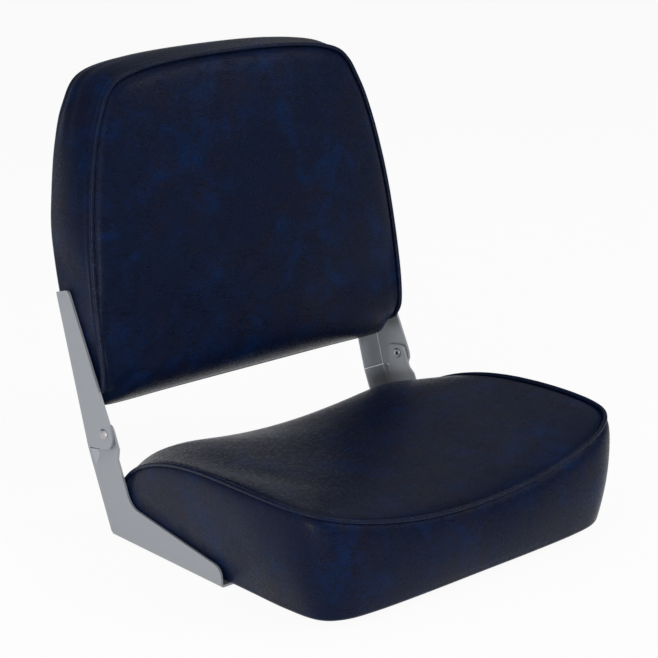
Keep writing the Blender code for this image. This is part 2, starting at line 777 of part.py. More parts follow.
def seat_outline(height, share):
    """Return the band's outline at a height, a share of the way from the base to the top.

    height is one number, or one for each point of the outline.
    """
    tops = full_outline(SEAT_TOP_SHARES)
    bases = full_outline(SEAT_BASE_SHARES)
    points = []
    for index, (top, base) in enumerate(zip(tops, bases)):
        level = height[index] if isinstance(height, list) else height
        part = share[index] if isinstance(share, list) else share
        rear = lower_line_y(LOWER_REAR_OFFSET - SHEET - 2 * CLEAR, level)
        front = PIVOT_Y - mix(SEAT_BASE_REACH, SEAT_FRONT_REACH, part)
        across = mix(base.x * SEAT_BASE_HALF_WIDTH, top.x * SEAT_HALF_WIDTH, part)
        points.append(Vector((across, mix(rear, front, mix(base.y, top.y, part)))))
    return points


def saddle(share_across):
    """Return the height of the saddle that the top follows, from a share of the half width."""
    return SEAT_MID_HEIGHT + SEAT_SIDE_RISE * abs(share_across) ** SADDLE_POWER


def seat_piping_heights():
    """Return the height of the piping at each point of the top outline."""
    heights = []
    for point in full_outline(SEAT_TOP_SHARES):
        fall = max(0.0, 1.0 - point.y / REAR_FALL_SHARE) ** REAR_FALL_POWER
        fall = min(1.0, REAR_FALL_GAIN * fall)
        heights.append(mix(saddle(point.x), SEAT_REAR_HEIGHT, fall))
    return heights


def held_by_bracket(point, height):
    """Hold a point of the band inside the lower bracket where its arm covers the side."""
    reach = PIVOT_Y - point.y
    root = PIVOT_Y - lower_line_y(-LOWER_FRONT_OFFSET, LOWER_BOTTOM + LOWER_ARM_HEIGHT)
    slope = (LOWER_ARM_HEIGHT - LOWER_TIP_HEIGHT) / (LOWER_REACH - root)
    cover = LOWER_BOTTOM + LOWER_ARM_HEIGHT - slope * (reach - root)
    if reach < root:
        cover = PIVOT_Z
    limit = HINGE_HALF_WIDTH - SHEET - 3 * CLEAR
    if height > PIVOT_Z - 2 * JOGGLE_TOP_DROP:
        limit = HINGE_HALF_WIDTH - SHEET - EAR_INSET - 3 * CLEAR
    inside = ease((height - cover) / (2 * LOWER_TIP_RADIUS))
    if reach > LOWER_REACH + LOWER_TIP_RADIUS:
        inside = 1.0
    if abs(point.x) > limit:
        point.x = math.copysign(mix(limit, abs(point.x), inside), point.x)
    return point


def raised(points, heights):
    """Return plan points lifted to their heights."""
    if not isinstance(heights, list):
        heights = [heights] * len(points)
    return [Vector((point.x, point.y, height)) for point, height in zip(points, heights)]


def seat_piping_ring():
    """Return the piping's centre line."""
    heights = seat_piping_heights()
    plan = inset(seat_outline(heights, 1.0), PIPE_INSET)
    limited = [held_by_bracket(point, height) for point, height in zip(plan, heights)]
    return raised(limited, heights)


def seat_face_rings():
    """Return the rings of the crowned top, centre first, and the centre point."""
    ring = seat_piping_ring()
    front = min(point.y for point in ring)
    rear = max(point.y for point in ring)
    middle = Vector((0.0, (front + rear) / 2))
    rings = []
    for share in reversed(FACE_RING_SHARES):
        loop = []
        for edge in ring:
            plan = Vector((edge.x, edge.y)).lerp(middle, share)
            drop = saddle(edge.x / SEAT_HALF_WIDTH) - edge.z
            height = saddle(plan.x / SEAT_HALF_WIDTH)
            height += SEAT_CROWN * (1.0 - (1.0 - share) ** CROWN_POWER)
            height -= drop * (1.0 - share) ** SEAT_EDGE_POWER
            loop.append(Vector((plan.x, plan.y, height)))
        rings.append(loop)
    nearest = {tuple(edge): inner for edge, inner in zip(ring, rings[-1])}
    rings.append(beside(ring, PIPE_SEAM, lambda point: nearest[tuple(point)] - point))
    tip = Vector((middle.x, middle.y, SEAT_MID_HEIGHT + SEAT_CROWN))
    return tip, rings


HEM_BOTTOM = LOWER_BOTTOM + SHEET + CLEAR


def seat_band_rings():
    """Return the rings of the side band, from below the piping to the hem under the pan."""
    heights = seat_piping_heights()
    low = HEM_BOTTOM + ROLL_RADIUS
    rings = [beside(seat_piping_ring(), PIPE_SEAM, lambda point: DOWNWARD)]
    for share in (*BAND_RING_SHARES, 1.0):
        levels = [mix(height - PIPE_SEAM, low, share) for height in heights]
        plan = seat_outline(levels, 1.0 - share)
        swell = math.sin(math.pi * share)
        front = min(point.y for point in plan)
        bulged = []
        for point, out in zip(plan, inset(plan, -1.0)):
            normal = out - point
            ahead = ease((front + SEAT_BASE_HALF_WIDTH - point.y) / SEAT_BASE_HALF_WIDTH)
            bulge = mix(SEAT_SIDE_BULGE, SEAT_FRONT_BULGE, ahead) * (1.0 - max(0.0, normal.y))
            bulged.append(point + normal * bulge * swell)
        plan = [held_by_bracket(point, level) for point, level in zip(bulged, levels)]
        rings.append(raised(plan, levels))
    base = seat_outline(low, 0.0)
    for step in range(1, ROLL_STEPS + 1):
        angle = math.pi / 2 * step / ROLL_STEPS
        plan = inset(base, ROLL_RADIUS * (1.0 - math.cos(angle)))
        rings.append(raised(plan, low - ROLL_RADIUS * math.sin(angle)))
    return rings, inset(base, HEM_WIDTH)


def seat_cover():
    """The seat's sewn top panel and the side band that is turned under the pan."""
    centre = Vector((0.0, 0.0, PAN_DECK_HEIGHT))
    tip, face = seat_face_rings()
    bm = loft(face, tip=tip)
    face_outwards(bm, centre)
    top = object_from(bm, "seat_top_panel", "navy_vinyl")
    shell(top, COVER)
    smooth(top.data)
    band, hem = seat_band_rings()
    bm = loft([*band, raised(hem, HEM_BOTTOM)])
    face_outwards(bm, centre)
    side = object_from(bm, "seat_side_band", "navy_vinyl")
    shell(side, COVER)
    smooth(side.data)
    holes = [rod(place + DOWNWARD * OVERRUN, place - DOWNWARD * (SHEET + COVER + OVERRUN),
                 SCREW_RADIUS + CLEAR) for place in both_sides(lower_screw_places())]
    boolean(side, hole_cutter("seat_hem_holes", holes))


def both_sides(places):
    """Return the places on the right and their mirrored places on the left."""
    return [Vector((place.x * side, place.y, place.z)) for place in places for side in (1.0, -1.0)]


def seat_foam():
    """The seat's foam block, crowned like its cover and hollowed to sit on the pan."""
    tip, face = seat_face_rings()
    band, _ = seat_band_rings()
    bm = loft([*face, *band], tip=tip, close_end=True)
    face_outwards(bm, Vector((0.0, 0.0, PAN_DECK_HEIGHT)))
    made = object_from(bm, "seat_foam", "cream_foam")
    shrink = made.modifiers.new("Inside the cover", "DISPLACE")
    shrink.strength = -FOAM_INSET
    shrink.mid_level = 0.0
    smooth(made.data)
    land_top = PAN_LAND_HEIGHT + PAN_LAND_THICKNESS + CLEAR
    land = object_from(prism(inset(seat_outline(PAN_LAND_HEIGHT, 0.0), PAN_EDGE_INSET - CLEAR),
                             -OVERRUN, land_top), "seat_foam_land_cut")
    hat = object_from(prism(pan_box_outline(CLEAR), -OVERRUN, PAN_DECK_HEIGHT + CLEAR),
                      "seat_foam_box_cut")
    boolean(made, land)
    boolean(made, hat)
    bosses = []
    for place in both_sides(lower_screw_places()):
        start = Vector((place.x, place.y, land_top - OVERRUN))
        bosses.append(rod(start, start + Vector((0, 0, OVERRUN + SCREW_BOSS_HEIGHT)),
                          SCREW_BOSS_RADIUS + CLEAR))
    boolean(made, hole_cutter("seat_foam_boss_cuts", bosses))


def piping(name, points, closed):
    """A welt cord along a row of points."""
    curve = bpy.data.curves.new(name, "CURVE")
    curve.dimensions = "3D"
    curve.bevel_depth = PIPE_RADIUS
    curve.bevel_resolution = 1
    curve.use_fill_caps = not closed
    line = curve.splines.new("POLY")
    line.points.add(len(points) - 1)
    for slot, point in zip(line.points, points):
        slot.co = (*point, 1.0)
    line.use_cyclic_u = closed
    made = bpy.data.objects.new(name, curve)
    PARTS.objects.link(made)
    curve.materials.append(material("piping_vinyl"))
    return made


# Seat pan


PAN_BOX_FRONT = PIVOT_Y - SEAT_BASE_REACH + PAN_BOX_FRONT_MARGIN
PAN_BOX_REAR = lower_line_y(LOWER_REAR_OFFSET, PAN_LAND_HEIGHT) - PAN_BOX_REAR_MARGIN


def pan_box_outline(extra):
    """Return the outline of the pan's deep middle, widened by a clearance."""
    wide = PAN_BOX_HALF_WIDTH + extra
    front = PAN_BOX_FRONT - extra
    rear = PAN_BOX_REAR + extra
    radius = PAN_BOX_RADIUS + extra
    return rounded_polygon([(-wide, front, radius), (wide, front, radius),
                            (wide, rear, radius), (-wide, rear, radius)])


def rib_lines(low, high):
    """Return where the ribs cross one direction: by the bolts and the pad, and evenly outside."""
    bolt = BOLT_SPACING / 2
    lines = [-bolt, -PAD_HALF_WIDTH, PAD_HALF_WIDTH, bolt]
    for wall, line in ((low, -bolt), (high, bolt)):
        cells = math.ceil(abs(wall - line) / PAN_CELL)
        lines.extend(mix(line, wall, index / cells) for index in range(1, cells))
    return lines


def bolt_places():
    """Return the four bolt places in plan."""
    half = BOLT_SPACING / 2
    return [(x, y) for x in (-half, half) for y in (-half, half)]


def seat_pan():
    """The moulded pan: a land for the cover's hem round a deep box stiffened by ribs."""
    land_top = PAN_LAND_HEIGHT + PAN_LAND_THICKNESS
    outline = inset(seat_outline(PAN_LAND_HEIGHT, 0.0), PAN_EDGE_INSET)
    made = object_from(prism(outline, PAN_LAND_HEIGHT, land_top), "seat_pan", "black_plastic")
    boolean(made, object_from(prism(pan_box_outline(0.0), 0.0, PAN_DECK_HEIGHT), "pan_box"),
            "UNION")
    deck_under = PAN_DECK_HEIGHT - PAN_WALL
    boolean(made, object_from(prism(pan_box_outline(-PAN_WALL), -OVERRUN, deck_under),
                              "pan_cavity"))
    ribs = []
    reach_x = PAN_BOX_HALF_WIDTH - PAN_WALL / 2
    lap = PAN_WALL / 2
    for x in rib_lines(-PAN_BOX_HALF_WIDTH, PAN_BOX_HALF_WIDTH):
        ribs.append(box((x - PAN_RIB / 2, PAN_BOX_FRONT + lap, 0.0),
                        (x + PAN_RIB / 2, PAN_BOX_REAR - lap, deck_under + lap)))
    for y in rib_lines(PAN_BOX_FRONT, PAN_BOX_REAR):
        ribs.append(box((-reach_x, y - PAN_RIB / 2, 0.0), (reach_x, y + PAN_RIB / 2, deck_under + lap)))
    for x, y in bolt_places():
        ribs.append(rod((x, y, 0.0), (x, y, deck_under + lap), BOSS_RADIUS))
    pad = PAD_HALF_WIDTH + PAN_RIB / 2
    ribs.append(box((-pad, -pad, 0.0), (pad, pad, deck_under + lap)))
    for index, rib in enumerate(ribs):
        boolean(made, object_from(rib, f"pan_rib_{index}"), "UNION")
    for index, place in enumerate(both_sides(lower_screw_places())):
        boss = rod((place.x, place.y, land_top - lap), (place.x, place.y, land_top + SCREW_BOSS_HEIGHT),
                   SCREW_BOSS_RADIUS)
        boolean(made, object_from(boss, f"pan_boss_{index}"), "UNION")
    recess = pad - PAD_RECESS_WALL
    cuts = [box((-recess, -recess, PAD_RECESS_WALL), (recess, recess, PAN_DECK_HEIGHT + OVERRUN))]
    for x, y in bolt_places():
        cuts.append(rod((x, y, -OVERRUN), (x, y, PAN_DECK_HEIGHT + OVERRUN),
                        NUT_BARREL_RADIUS + CLEAR))
        cuts.append(rod((x, y, PAN_DECK_HEIGHT - NUT_FLANGE_THICKNESS - CLEAR),
                        (x, y, PAN_DECK_HEIGHT + OVERRUN), NUT_FLANGE_RADIUS + CLEAR))
    for place in both_sides(lower_screw_places()):
        top = LOWER_BOTTOM + SCREW_LENGTH + CLEAR
        cuts.append(rod((place.x, place.y, PAN_LAND_HEIGHT - OVERRUN), (place.x, place.y, top),
                        SCREW_RADIUS + CLEAR))
    for index, cut in enumerate(cuts):
        boolean(made, object_from(cut, f"pan_cut_{index}"))


def mounting_nuts():
    """The four tee nuts, flanges let into the deck and barrels down the bosses."""
    top = PAN_DECK_HEIGHT
    under = top - NUT_FLANGE_THICKNESS
    profile = [(NUT_BORE_RADIUS, top), (NUT_FLANGE_RADIUS, top), (NUT_FLANGE_RADIUS, under),
               (NUT_BARREL_RADIUS, under), (NUT_BARREL_RADIUS, top - NUT_BARREL_LENGTH),
               (NUT_BORE_RADIUS, top - NUT_BARREL_LENGTH)]
    mesh = turned_mesh("mounting_tee_nut", profile, True)
    copies("mounting_tee_nut", mesh, [Matrix.Translation((x, y, 0.0)) for x, y in bolt_places()])


# Back cushion


def back_plane_y(height):
    """Return where the plane of the back's piping passes a height."""
    return PIVOT_Y - BACK_FACE_AHEAD + (height - PIVOT_Z) * math.tan(BACK_LEAN)


def back_knots():
    """Return the rear face's profile as heights and places, bottom to top."""
    flange = UPPER_REAR_OFFSET - SHEET - CLEAR
    low = PIVOT_Z
    knee = PIVOT_Z + BACK_KNEE_HEIGHT
    bend = knee + BACK_KNEE_LENGTH
    top = PIVOT_Z + BACK_BOTTOM + BACK_HEIGHT + BACK_ROLL
    knee_y = upper_line_y(flange, knee)
    bend_y = knee_y + BACK_KNEE_LENGTH * math.tan(BACK_KNEE_LEAN)
    return [(low, upper_line_y(flange, low)), (knee, knee_y), (bend, bend_y),
            (top, bend_y + (top - bend) * math.tan(BACK_TOP_LEAN))]


def back_rear_y(height):
    """Return where the back's rear face passes a height."""
    knots = back_knots()
    for (low, low_y), (high, high_y) in zip(knots, knots[1:]):
        if height <= high:
            return mix(low_y, high_y, (height - low) / (high - low))
    return knots[-1][1]


def back_outline(half_width, shares):
    """Return an outline of the back in X and Z."""
    low = PIVOT_Z + BACK_BOTTOM
    return [Vector((point.x * half_width, low + point.y * BACK_HEIGHT))
            for point in full_outline(shares)]


def back_piping_ring():
    """Return the edge of the front face; it rolls to the rear round the bottom."""
    ring = []
    shares = full_outline(BACK_SHARES)
    for point, share in zip(back_outline(BACK_HALF_WIDTH, BACK_SHARES), shares):
        roll = BACK_ROLL * ease(1.0 - share.y / BACK_ROLL_SHARE)
        ring.append(Vector((point.x, back_plane_y(point.y) + roll, point.y)))
    return ring


def back_face_rings():
    """Return the rings of the crowned front, centre first, and the centre point."""
    ring = back_piping_ring()
    middle = Vector((0.0, PIVOT_Z + BACK_BOTTOM + BACK_HEIGHT / 2))
    rings = []
    for share in reversed(FACE_RING_SHARES):
        loop = []
        for edge in ring:
            plan = Vector((edge.x, edge.z)).lerp(middle, share)
            roll = edge.y - back_plane_y(edge.z)
            place = back_plane_y(plan.y) + roll * (1.0 - share) ** BACK_EDGE_POWER
            place -= BACK_CROWN * (1.0 - (1.0 - share) ** CROWN_POWER)
            loop.append(Vector((plan.x, place, plan.y)))
        rings.append(loop)
    nearest = {tuple(edge): inner for edge, inner in zip(ring, rings[-1])}
    rings.append(beside(ring, PIPE_SEAM, lambda point: nearest[tuple(point)] - point))
    tip = Vector((middle.x, back_plane_y(middle.y) - BACK_CROWN, middle.y))
    return tip, rings


def back_band_rings():
    """Return the rings of the side band, from behind the piping to the rear face."""
    ring = back_piping_ring()
    count = len(ring)
    rear = back_outline(BACK_REAR_HALF_WIDTH, BACK_REAR_SHARES)
    bracket_top = PIVOT_Z + UPPER_ABOVE_PIVOT
    rings = [beside(ring, PIPE_SEAM, lambda point: Vector((0.0, 1.0, 0.0)))]
    for share in (*BAND_RING_SHARES, 1.0):
        flat = []
        for index in range(count):
            narrow = ease(share / BAND_RING_SHARES[0])
            flat.append(Vector((ring[index].x, ring[index].z)).lerp(rear[index], narrow))
        loop = []
        for index, (point, out) in enumerate(zip(flat, inset(flat, -1.0))):
            free = ease((point.y - bracket_top) / BACK_KNEE_LENGTH)
            point = point + (out - point) * BACK_BULGE * free * math.sin(math.pi * share)
            start = ring[index].y + PIPE_SEAM
            loop.append(Vector((point.x, mix(start, back_rear_y(point.y), share), point.y)))
        rings.append(loop)
    return rings


def is_bottom(column, count):
    """Say whether a column of the back's band lies under the bottom edge."""
    return column < BACK_TURN or column >= count - BACK_TURN


def is_turn(column, count):
    """Say whether the piping runs to the rear along a column of the back's band."""
    return column in (BACK_TURN, count - BACK_TURN - 1)


def back_cover():
    """The back's sewn front panel, wrapped under the bottom, its side band and rear panel."""
    centre = Vector((0.0, back_rear_y(PIVOT_Z) + BACK_ROLL, PIVOT_Z + BACK_HEIGHT / 2))
    tip, face = back_face_rings()
    ring = back_piping_ring()
    band = back_band_rings()
    count = len(ring)
    first_band_row = len(face) - 1
    bm = loft([*face, *band], tip=tip,
              keep=lambda row, column: row < first_band_row
              or (is_bottom(column, count) and not is_turn(column, count)))
    face_outwards(bm, centre)
    front = object_from(bm, "back_front_panel", "navy_vinyl")
    shell(front, COVER)
    smooth(front.data)
    bm = loft(band, keep=lambda row, column: not is_bottom(column, count)
              and not is_turn(column, count))
    face_outwards(bm, centre)
    side = object_from(bm, "back_side_band", "navy_vinyl")
    shell(side, COVER)
    smooth(side.data)
    rear = rear_slab("back_rear_panel", "navy_vinyl", COVER + 2 * CLEAR, 0.0, COVER)
    boolean(rear, hole_cutter("back_rear_holes", upper_screw_holes()))


def upper_screw_holes():
    """Return rods for the screws that pass the back's rear panel into its board."""
    rods = []
    for place in both_sides(upper_screw_places()):
        rods.append(rod(place + UPPER_REARWARD * OVERRUN,
                        place - UPPER_REARWARD * (SCREW_LENGTH + CLEAR), SCREW_RADIUS + CLEAR))
    return rods


def rear_slab(name, finish, edge, near, far):
    """The space between two depths ahead of the rear face, inside its outline by an edge."""
    bm = bmesh.new()
    outline = within(back_outline(BACK_REAR_HALF_WIDTH, BACK_REAR_SHARES), edge)
    bm.faces.new([bm.verts.new((point.x, 0.0, point.y)) for point in outline])
    for height, _ in back_knots()[1:-1]:
        everything = list(bm.verts) + list(bm.edges) + list(bm.faces)
        bmesh.ops.bisect_plane(bm, geom=everything, plane_co=(0, 0, height), plane_no=(0, 0, 1))
    for vert in bm.verts:
        vert.co.y = back_rear_y(vert.co.z) - far
    deep = bmesh.ops.extrude_face_region(bm, geom=list(bm.faces))
    behind = [item for item in deep["geom"] if isinstance(item, bmesh.types.BMVert)]
    bmesh.ops.translate(bm, verts=behind, vec=(0.0, far - near, 0.0))
    bmesh.ops.recalc_face_normals(bm, faces=bm.faces)
    return object_from(bm, name, finish)


def back_board():
    """The moulded board behind the foam, with pockets on its front and screw holes behind."""
    made = rear_slab("back_board", "black_plastic", BOARD_INSET, COVER + CLEAR,
                     COVER + CLEAR + BOARD_THICKNESS)
    width = (2 * BOARD_POCKET_WIDTH - (BOARD_POCKET_COLUMNS - 1) * BOARD_RIB) / BOARD_POCKET_COLUMNS
    rise = BOARD_POCKET_TOP - BOARD_POCKET_BOTTOM
    height = (rise - (BOARD_POCKET_ROWS - 1) * BOARD_RIB) / BOARD_POCKET_ROWS
    for row in range(BOARD_POCKET_ROWS):
        low = PIVOT_Z + BOARD_POCKET_BOTTOM + row * (height + BOARD_RIB)
        floor = back_rear_y(low) - COVER - CLEAR - BOARD_THICKNESS + BOARD_POCKET_DEPTH
        for column in range(BOARD_POCKET_COLUMNS):
            left = -BOARD_POCKET_WIDTH + column * (width + BOARD_RIB)
            cut = box((left, floor - BOARD_THICKNESS - BACK_ROLL, low), (left + width, floor, low + height))
            boolean(made, object_from(cut, f"board_pocket_{row}_{column}"))
    boolean(made, hole_cutter("board_holes", upper_screw_holes()))


def back_foam():
    """The back's foam, crowned like its cover, let over the board."""
    tip, face = back_face_rings()
    band = back_band_rings()
    beyond = [point + Vector((0.0, BACK_ROLL, 0.0)) for point in band[-1]]
    bm = loft([*face, *band, beyond], tip=tip, close_end=True)
    face_outwards(bm, Vector((0.0, back_rear_y(PIVOT_Z), PIVOT_Z + BACK_HEIGHT / 2)))
    made = object_from(bm, "back_foam", "cream_foam")
    shrink = made.modifiers.new("Inside the cover", "DISPLACE")
    shrink.strength = -FOAM_INSET
    shrink.mid_level = 0.0
    smooth(made.data)
    boolean(made, rear_slab("back_rear_cut", None, -BACK_ROLL, -2 * BACK_ROLL, COVER + CLEAR))
    boolean(made, rear_slab("back_board_cut", None, BOARD_INSET - CLEAR, -BACK_ROLL,
                            COVER + BOARD_THICKNESS + 2 * CLEAR))


def back_piping_path():
    """Return the back's piping: up one side, over the top and down, its ends to the rear."""
    ring = back_piping_ring()
    band = back_band_rings()
    count = len(ring)
    first = BACK_TURN
    last = count - BACK_TURN - 1
    middle_height = PIVOT_Z + BACK_HEIGHT / 2

    def seam_end(panel_column, band_column):
        points = []
        for loop in band[:-1]:
            place = loop[panel_column].lerp(loop[band_column], TURN_SEAM_SHARE)
            out = Vector((place.x, 0.0, place.z - middle_height)).normalized()
            points.append(place + out * PIPE_PROUD)
        return points

    start = list(reversed(seam_end(first, first + 1)))
    end = seam_end(last + 1, last)
    return start + ring[first + 1:last + 1] + end


def hang_back():
    """Hang the back's parts, and what cuts them, from an empty on the pivot axis."""
    pivot = bpy.data.objects.new("back_fold_pivot", None)
    pivot.location = (0.0, PIVOT_Y, PIVOT_Z)
    moving = [made for made in PARTS.objects if made.name.startswith(("back_", "upper_"))]
    for made in list(moving):
        moving.extend(step.object for step in made.modifiers if step.type == "BOOLEAN")
    PARTS.objects.link(pivot)
    bpy.context.view_layer.update()
    for made in moving:
        made.parent = pivot
        made.matrix_parent_inverse = pivot.matrix_world.inverted()


def build():
    """Make every part of the seat."""
    right = [upper_bracket(), lower_bracket(), pivot_rivet(), pivot_washer()]
    for made in right:
        mirrored(made, made.name.replace("_right", "_left"))
    screws("upper_bracket_screw", upper_screw_places(), UPPER_REARWARD)
    screws("lower_bracket_screw", lower_screw_places(), DOWNWARD)
    seat_pan()
    mounting_nuts()
    seat_foam()
    seat_cover()
    piping("seat_piping", seat_piping_ring(), closed=True)
    back_board()
    back_foam()
    back_cover()
    piping("back_piping", back_piping_path(), closed=False)
    hang_back()


build()
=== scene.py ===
"""Folding boat seat: the looks of its padded covers, welts, brackets and fastenings.

Metres, +Z up. The seat faces -Y, and the back folds forward about the axis through its rivets.
"""

import math

import bmesh
import bpy
from bpy.props import FloatProperty, FloatVectorProperty, IntProperty, PointerProperty
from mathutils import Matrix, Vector


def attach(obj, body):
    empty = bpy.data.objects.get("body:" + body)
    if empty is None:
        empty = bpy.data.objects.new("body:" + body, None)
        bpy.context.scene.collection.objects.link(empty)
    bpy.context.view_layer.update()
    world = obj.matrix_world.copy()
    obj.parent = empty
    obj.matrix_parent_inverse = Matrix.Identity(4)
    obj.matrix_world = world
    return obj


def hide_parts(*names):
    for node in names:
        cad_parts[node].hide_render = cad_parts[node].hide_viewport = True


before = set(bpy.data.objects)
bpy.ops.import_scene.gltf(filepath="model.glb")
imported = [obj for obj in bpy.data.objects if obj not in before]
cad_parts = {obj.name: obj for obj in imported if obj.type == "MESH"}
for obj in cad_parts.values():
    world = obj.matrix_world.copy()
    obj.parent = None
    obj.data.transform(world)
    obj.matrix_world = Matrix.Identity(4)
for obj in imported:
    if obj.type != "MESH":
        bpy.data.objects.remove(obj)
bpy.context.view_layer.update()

bl_info = {
    "name": "Folding boat seat",
    "version": (1, 0, 0),
    "blender": (4, 5, 0),
    "location": "3D View > Sidebar > Boat Seat",
    "description": "Dresses the folding boat seat in its vinyl covers, paint and steel",
    "category": "Object",
}

# Hinge and brackets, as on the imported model
PIVOT_Y = 0.165
PIVOT_Z = 0.108
HINGE_HALF_WIDTH = 0.2055
SHEET = 0.0025
CLEAR = 0.0003
EAR_INSET = 0.0039
JOGGLE_TOP_DROP = 0.0185
LOWER_LEAN = math.radians(23.9)
LOWER_REAR_OFFSET = 0.0363
LOWER_FRONT_OFFSET = 0.0117
LOWER_BOTTOM = 0.003
LOWER_REACH = 0.1845
LOWER_TIP_HEIGHT = 0.020
LOWER_TIP_RADIUS = 0.012
LOWER_ARM_HEIGHT = 0.040
FLANGE_WIDTH = 0.0295
UPPER_LEAN = math.radians(17.0)
UPPER_REAR_OFFSET = 0.035
UPPER_ABOVE_PIVOT = 0.148

# Seat cushion
PIPE_SEAM = 0.0031
PIPE_PROUD = 0.0017
PIPE_INSET = 0.0015
HEM_WIDTH = 0.022
HEM_BOTTOM = LOWER_BOTTOM + SHEET + CLEAR
ROLL_RADIUS = 0.006
SEAT_HALF_WIDTH = 0.2160
SEAT_BASE_HALF_WIDTH = 0.1985
SEAT_BASE_REACH = 0.3300
SEAT_FRONT_REACH = 0.3280
SEAT_MID_HEIGHT = 0.079
SEAT_SIDE_RISE = 0.0395
SEAT_REAR_HEIGHT = 0.044
SEAT_CROWN = 0.012
SEAT_FRONT_BULGE = 0.005
SEAT_SIDE_BULGE = 0.002
REAR_FALL_SHARE = 0.75
REAR_FALL_POWER = 2.9
REAR_FALL_GAIN = 1.10
CROWN_POWER = 3.0
SEAT_EDGE_POWER = 8.0
# The pan's land starts this far inside the base, and its deck lies under this height
PAN_LAND_GAP = 0.0066
PAN_DECK_TOP = 0.0252

# Back cushion
BACK_LEAN = math.radians(8.95)
BACK_FACE_AHEAD = 0.0114
BACK_BOTTOM = 0.026
BACK_HEIGHT = 0.3320
BACK_HALF_WIDTH = 0.2045
BACK_REAR_HALF_WIDTH = 0.2022
BACK_CROWN = 0.012
BACK_ROLL = 0.016
BACK_ROLL_SHARE = 0.13
BACK_BULGE = 0.004
BACK_KNEE_HEIGHT = 0.140
BACK_KNEE_LENGTH = 0.055
BACK_KNEE_LEAN = math.radians(14.0)
BACK_TOP_LEAN = math.radians(5.8)
BACK_EDGE_POWER = 13.0
# The padding gives way where the folded back comes down on the raised sides of the seat
FOLD_ROOM = 0.0054
FOLD_HEIGHT = 0.203
FOLD_SPREAD = 0.040
FOLD_MIDDLE = 0.4
FOLD_RAMP = 0.010
FOLD_START = 0.04
FOLD_WIDTH = 0.07
# How much deeper and lower the bottom of the front panel rolls, where it has no seam
WRAP_DEPTH = 0.010
WRAP_SAG = 0.0045
# The welt leaves the front edge at this place on the outline, and the seam ends over this span
TURN_START = 4.0
TURN_SPAN = 0.5
TURN_SEAM_SHARE = 0.54
TURN_BAND_SHARES = (0.0, 0.25, 0.55, 0.82)
# Folds along the side band where it turns the top corners: the place of the corner, then for
# each fold its share of the band, its slope, its width and its height
CORNER_PLACE = 10.3
CORNER_FOLDS = ((0.44, 0.03, 0.040, 0.0010), (0.60, 0.05, 0.045, -0.0011),
                (0.74, 0.02, 0.050, 0.0019), (0.88, -0.02, 0.040, -0.0012))

# Half outlines, rear or bottom centre to front or top centre, as shares of the size
SEAT_TOP_SHARES = (
    (0.0, 0.0), (0.52, 0.0), (0.80, 0.012), (0.880, 0.050), (0.905, 0.110), (0.945, 0.250),
    (0.978, 0.440), (0.998, 0.640), (0.998, 0.800), (0.962, 0.915), (0.860, 0.968),
    (0.690, 0.990), (0.380, 1.0), (0.0, 1.0),
)
SEAT_BASE_SHARES = (
    (0.0, 0.0), (0.52, 0.0), (0.85, 0.005), (0.955, 0.040), (0.985, 0.110), (1.0, 0.260),
    (1.0, 0.440), (0.998, 0.640), (0.995, 0.800), (0.965, 0.920), (0.865, 0.975),
    (0.690, 0.994), (0.380, 1.0), (0.0, 1.0),
)
BACK_SHARES = (
    (0.0, 0.0), (0.50, 0.0), (0.88, -0.001), (0.952, 0.010), (0.972, 0.040), (0.988, 0.100),
    (0.993, 0.270), (0.974, 0.475), (0.938, 0.630), (0.890, 0.760), (0.825, 0.868),
    (0.715, 0.955), (0.430, 0.991), (0.0, 1.0),
)
BACK_REAR_SHARES = (
    (0.0, 0.0), (0.50, 0.0), (0.88, 0.0), (0.960, 0.002), (0.977, 0.028), (0.981, 0.084),
    (1.0, 0.270), (0.988, 0.475), (0.955, 0.630), (0.912, 0.760), (0.848, 0.870),
    (0.730, 0.957), (0.435, 0.989), (0.0, 0.997),
)
# How far the knees of the back's rear face are rounded
KNEE_SPREAD = 0.014
KNEE_STEPS = (-1.0, -0.5, 0.0, 0.5, 1.0)
# Places of the rounded corners, counted in points along the half outline
SEAT_CORNERS = (3.0, 9.6)
BACK_CORNERS = (3.6, 10.2)

# The mesh of a padded cover: cells across a face, and rows down its side
CELLS = 80
FINE_CELLS = 8
CROWDING = 0.6
SEAT_BAND_SHARES = (0.03, 0.07, 0.12, 0.18, 0.25, 0.33, 0.42, 0.51, 0.60, 0.69, 0.78, 0.87,
                    0.94, 1.0)
BACK_BAND_SHARES = (0.03, 0.06, 0.09, 0.12, 0.15, 0.18, 0.21, 0.25, 0.30, 0.37, 0.46, 0.56, 0.66,
                    0.76, 0.85, 0.93, 1.0)
ROLL_STEPS = 4
WELT_SIDES = 4
TINY = 1e-6

# Distances over which the stuffing rises from a seam and falls away again
PUFF_START = 0.010
PUFF_REACH = 0.045
SHOULDER_START = 0.007
SHOULDER_REACH = 0.035
GROOVE_WIDTH = 0.0022
OPEN_PUFF = 0.3
# Where the rim of a face starts to be held, how far the faces are tucked under a welt, and how
# far a cover is held at its seams: the seam's and the far side's start and span
RIM_START = 0.90
RIM_SPAN = 0.08
TUCK = 0.55
SEAM_GAP = 0.6
SEAT_HOLDS = (0.10, 0.10, 0.88, 0.10)
BACK_HOLDS = (0.28, 0.10, 0.86, 0.12)
# How softly the covers are pressed in beside the brackets
PRESS_SPAN = 0.012
PRESS_MARGIN = 0.014
PRESS_TOP = 0.004
PRESS_TOP_SPAN = 0.016
BESIDE_ARM = 0.025
# The ridge and the valley that the sewn allowance makes behind the back's welt
RIDGE_WIDTH = 0.0017
VALLEY_WIDTH = 0.0014
VALLEY_SHARE = 0.55
VALLEY_DEPTH = 0.5
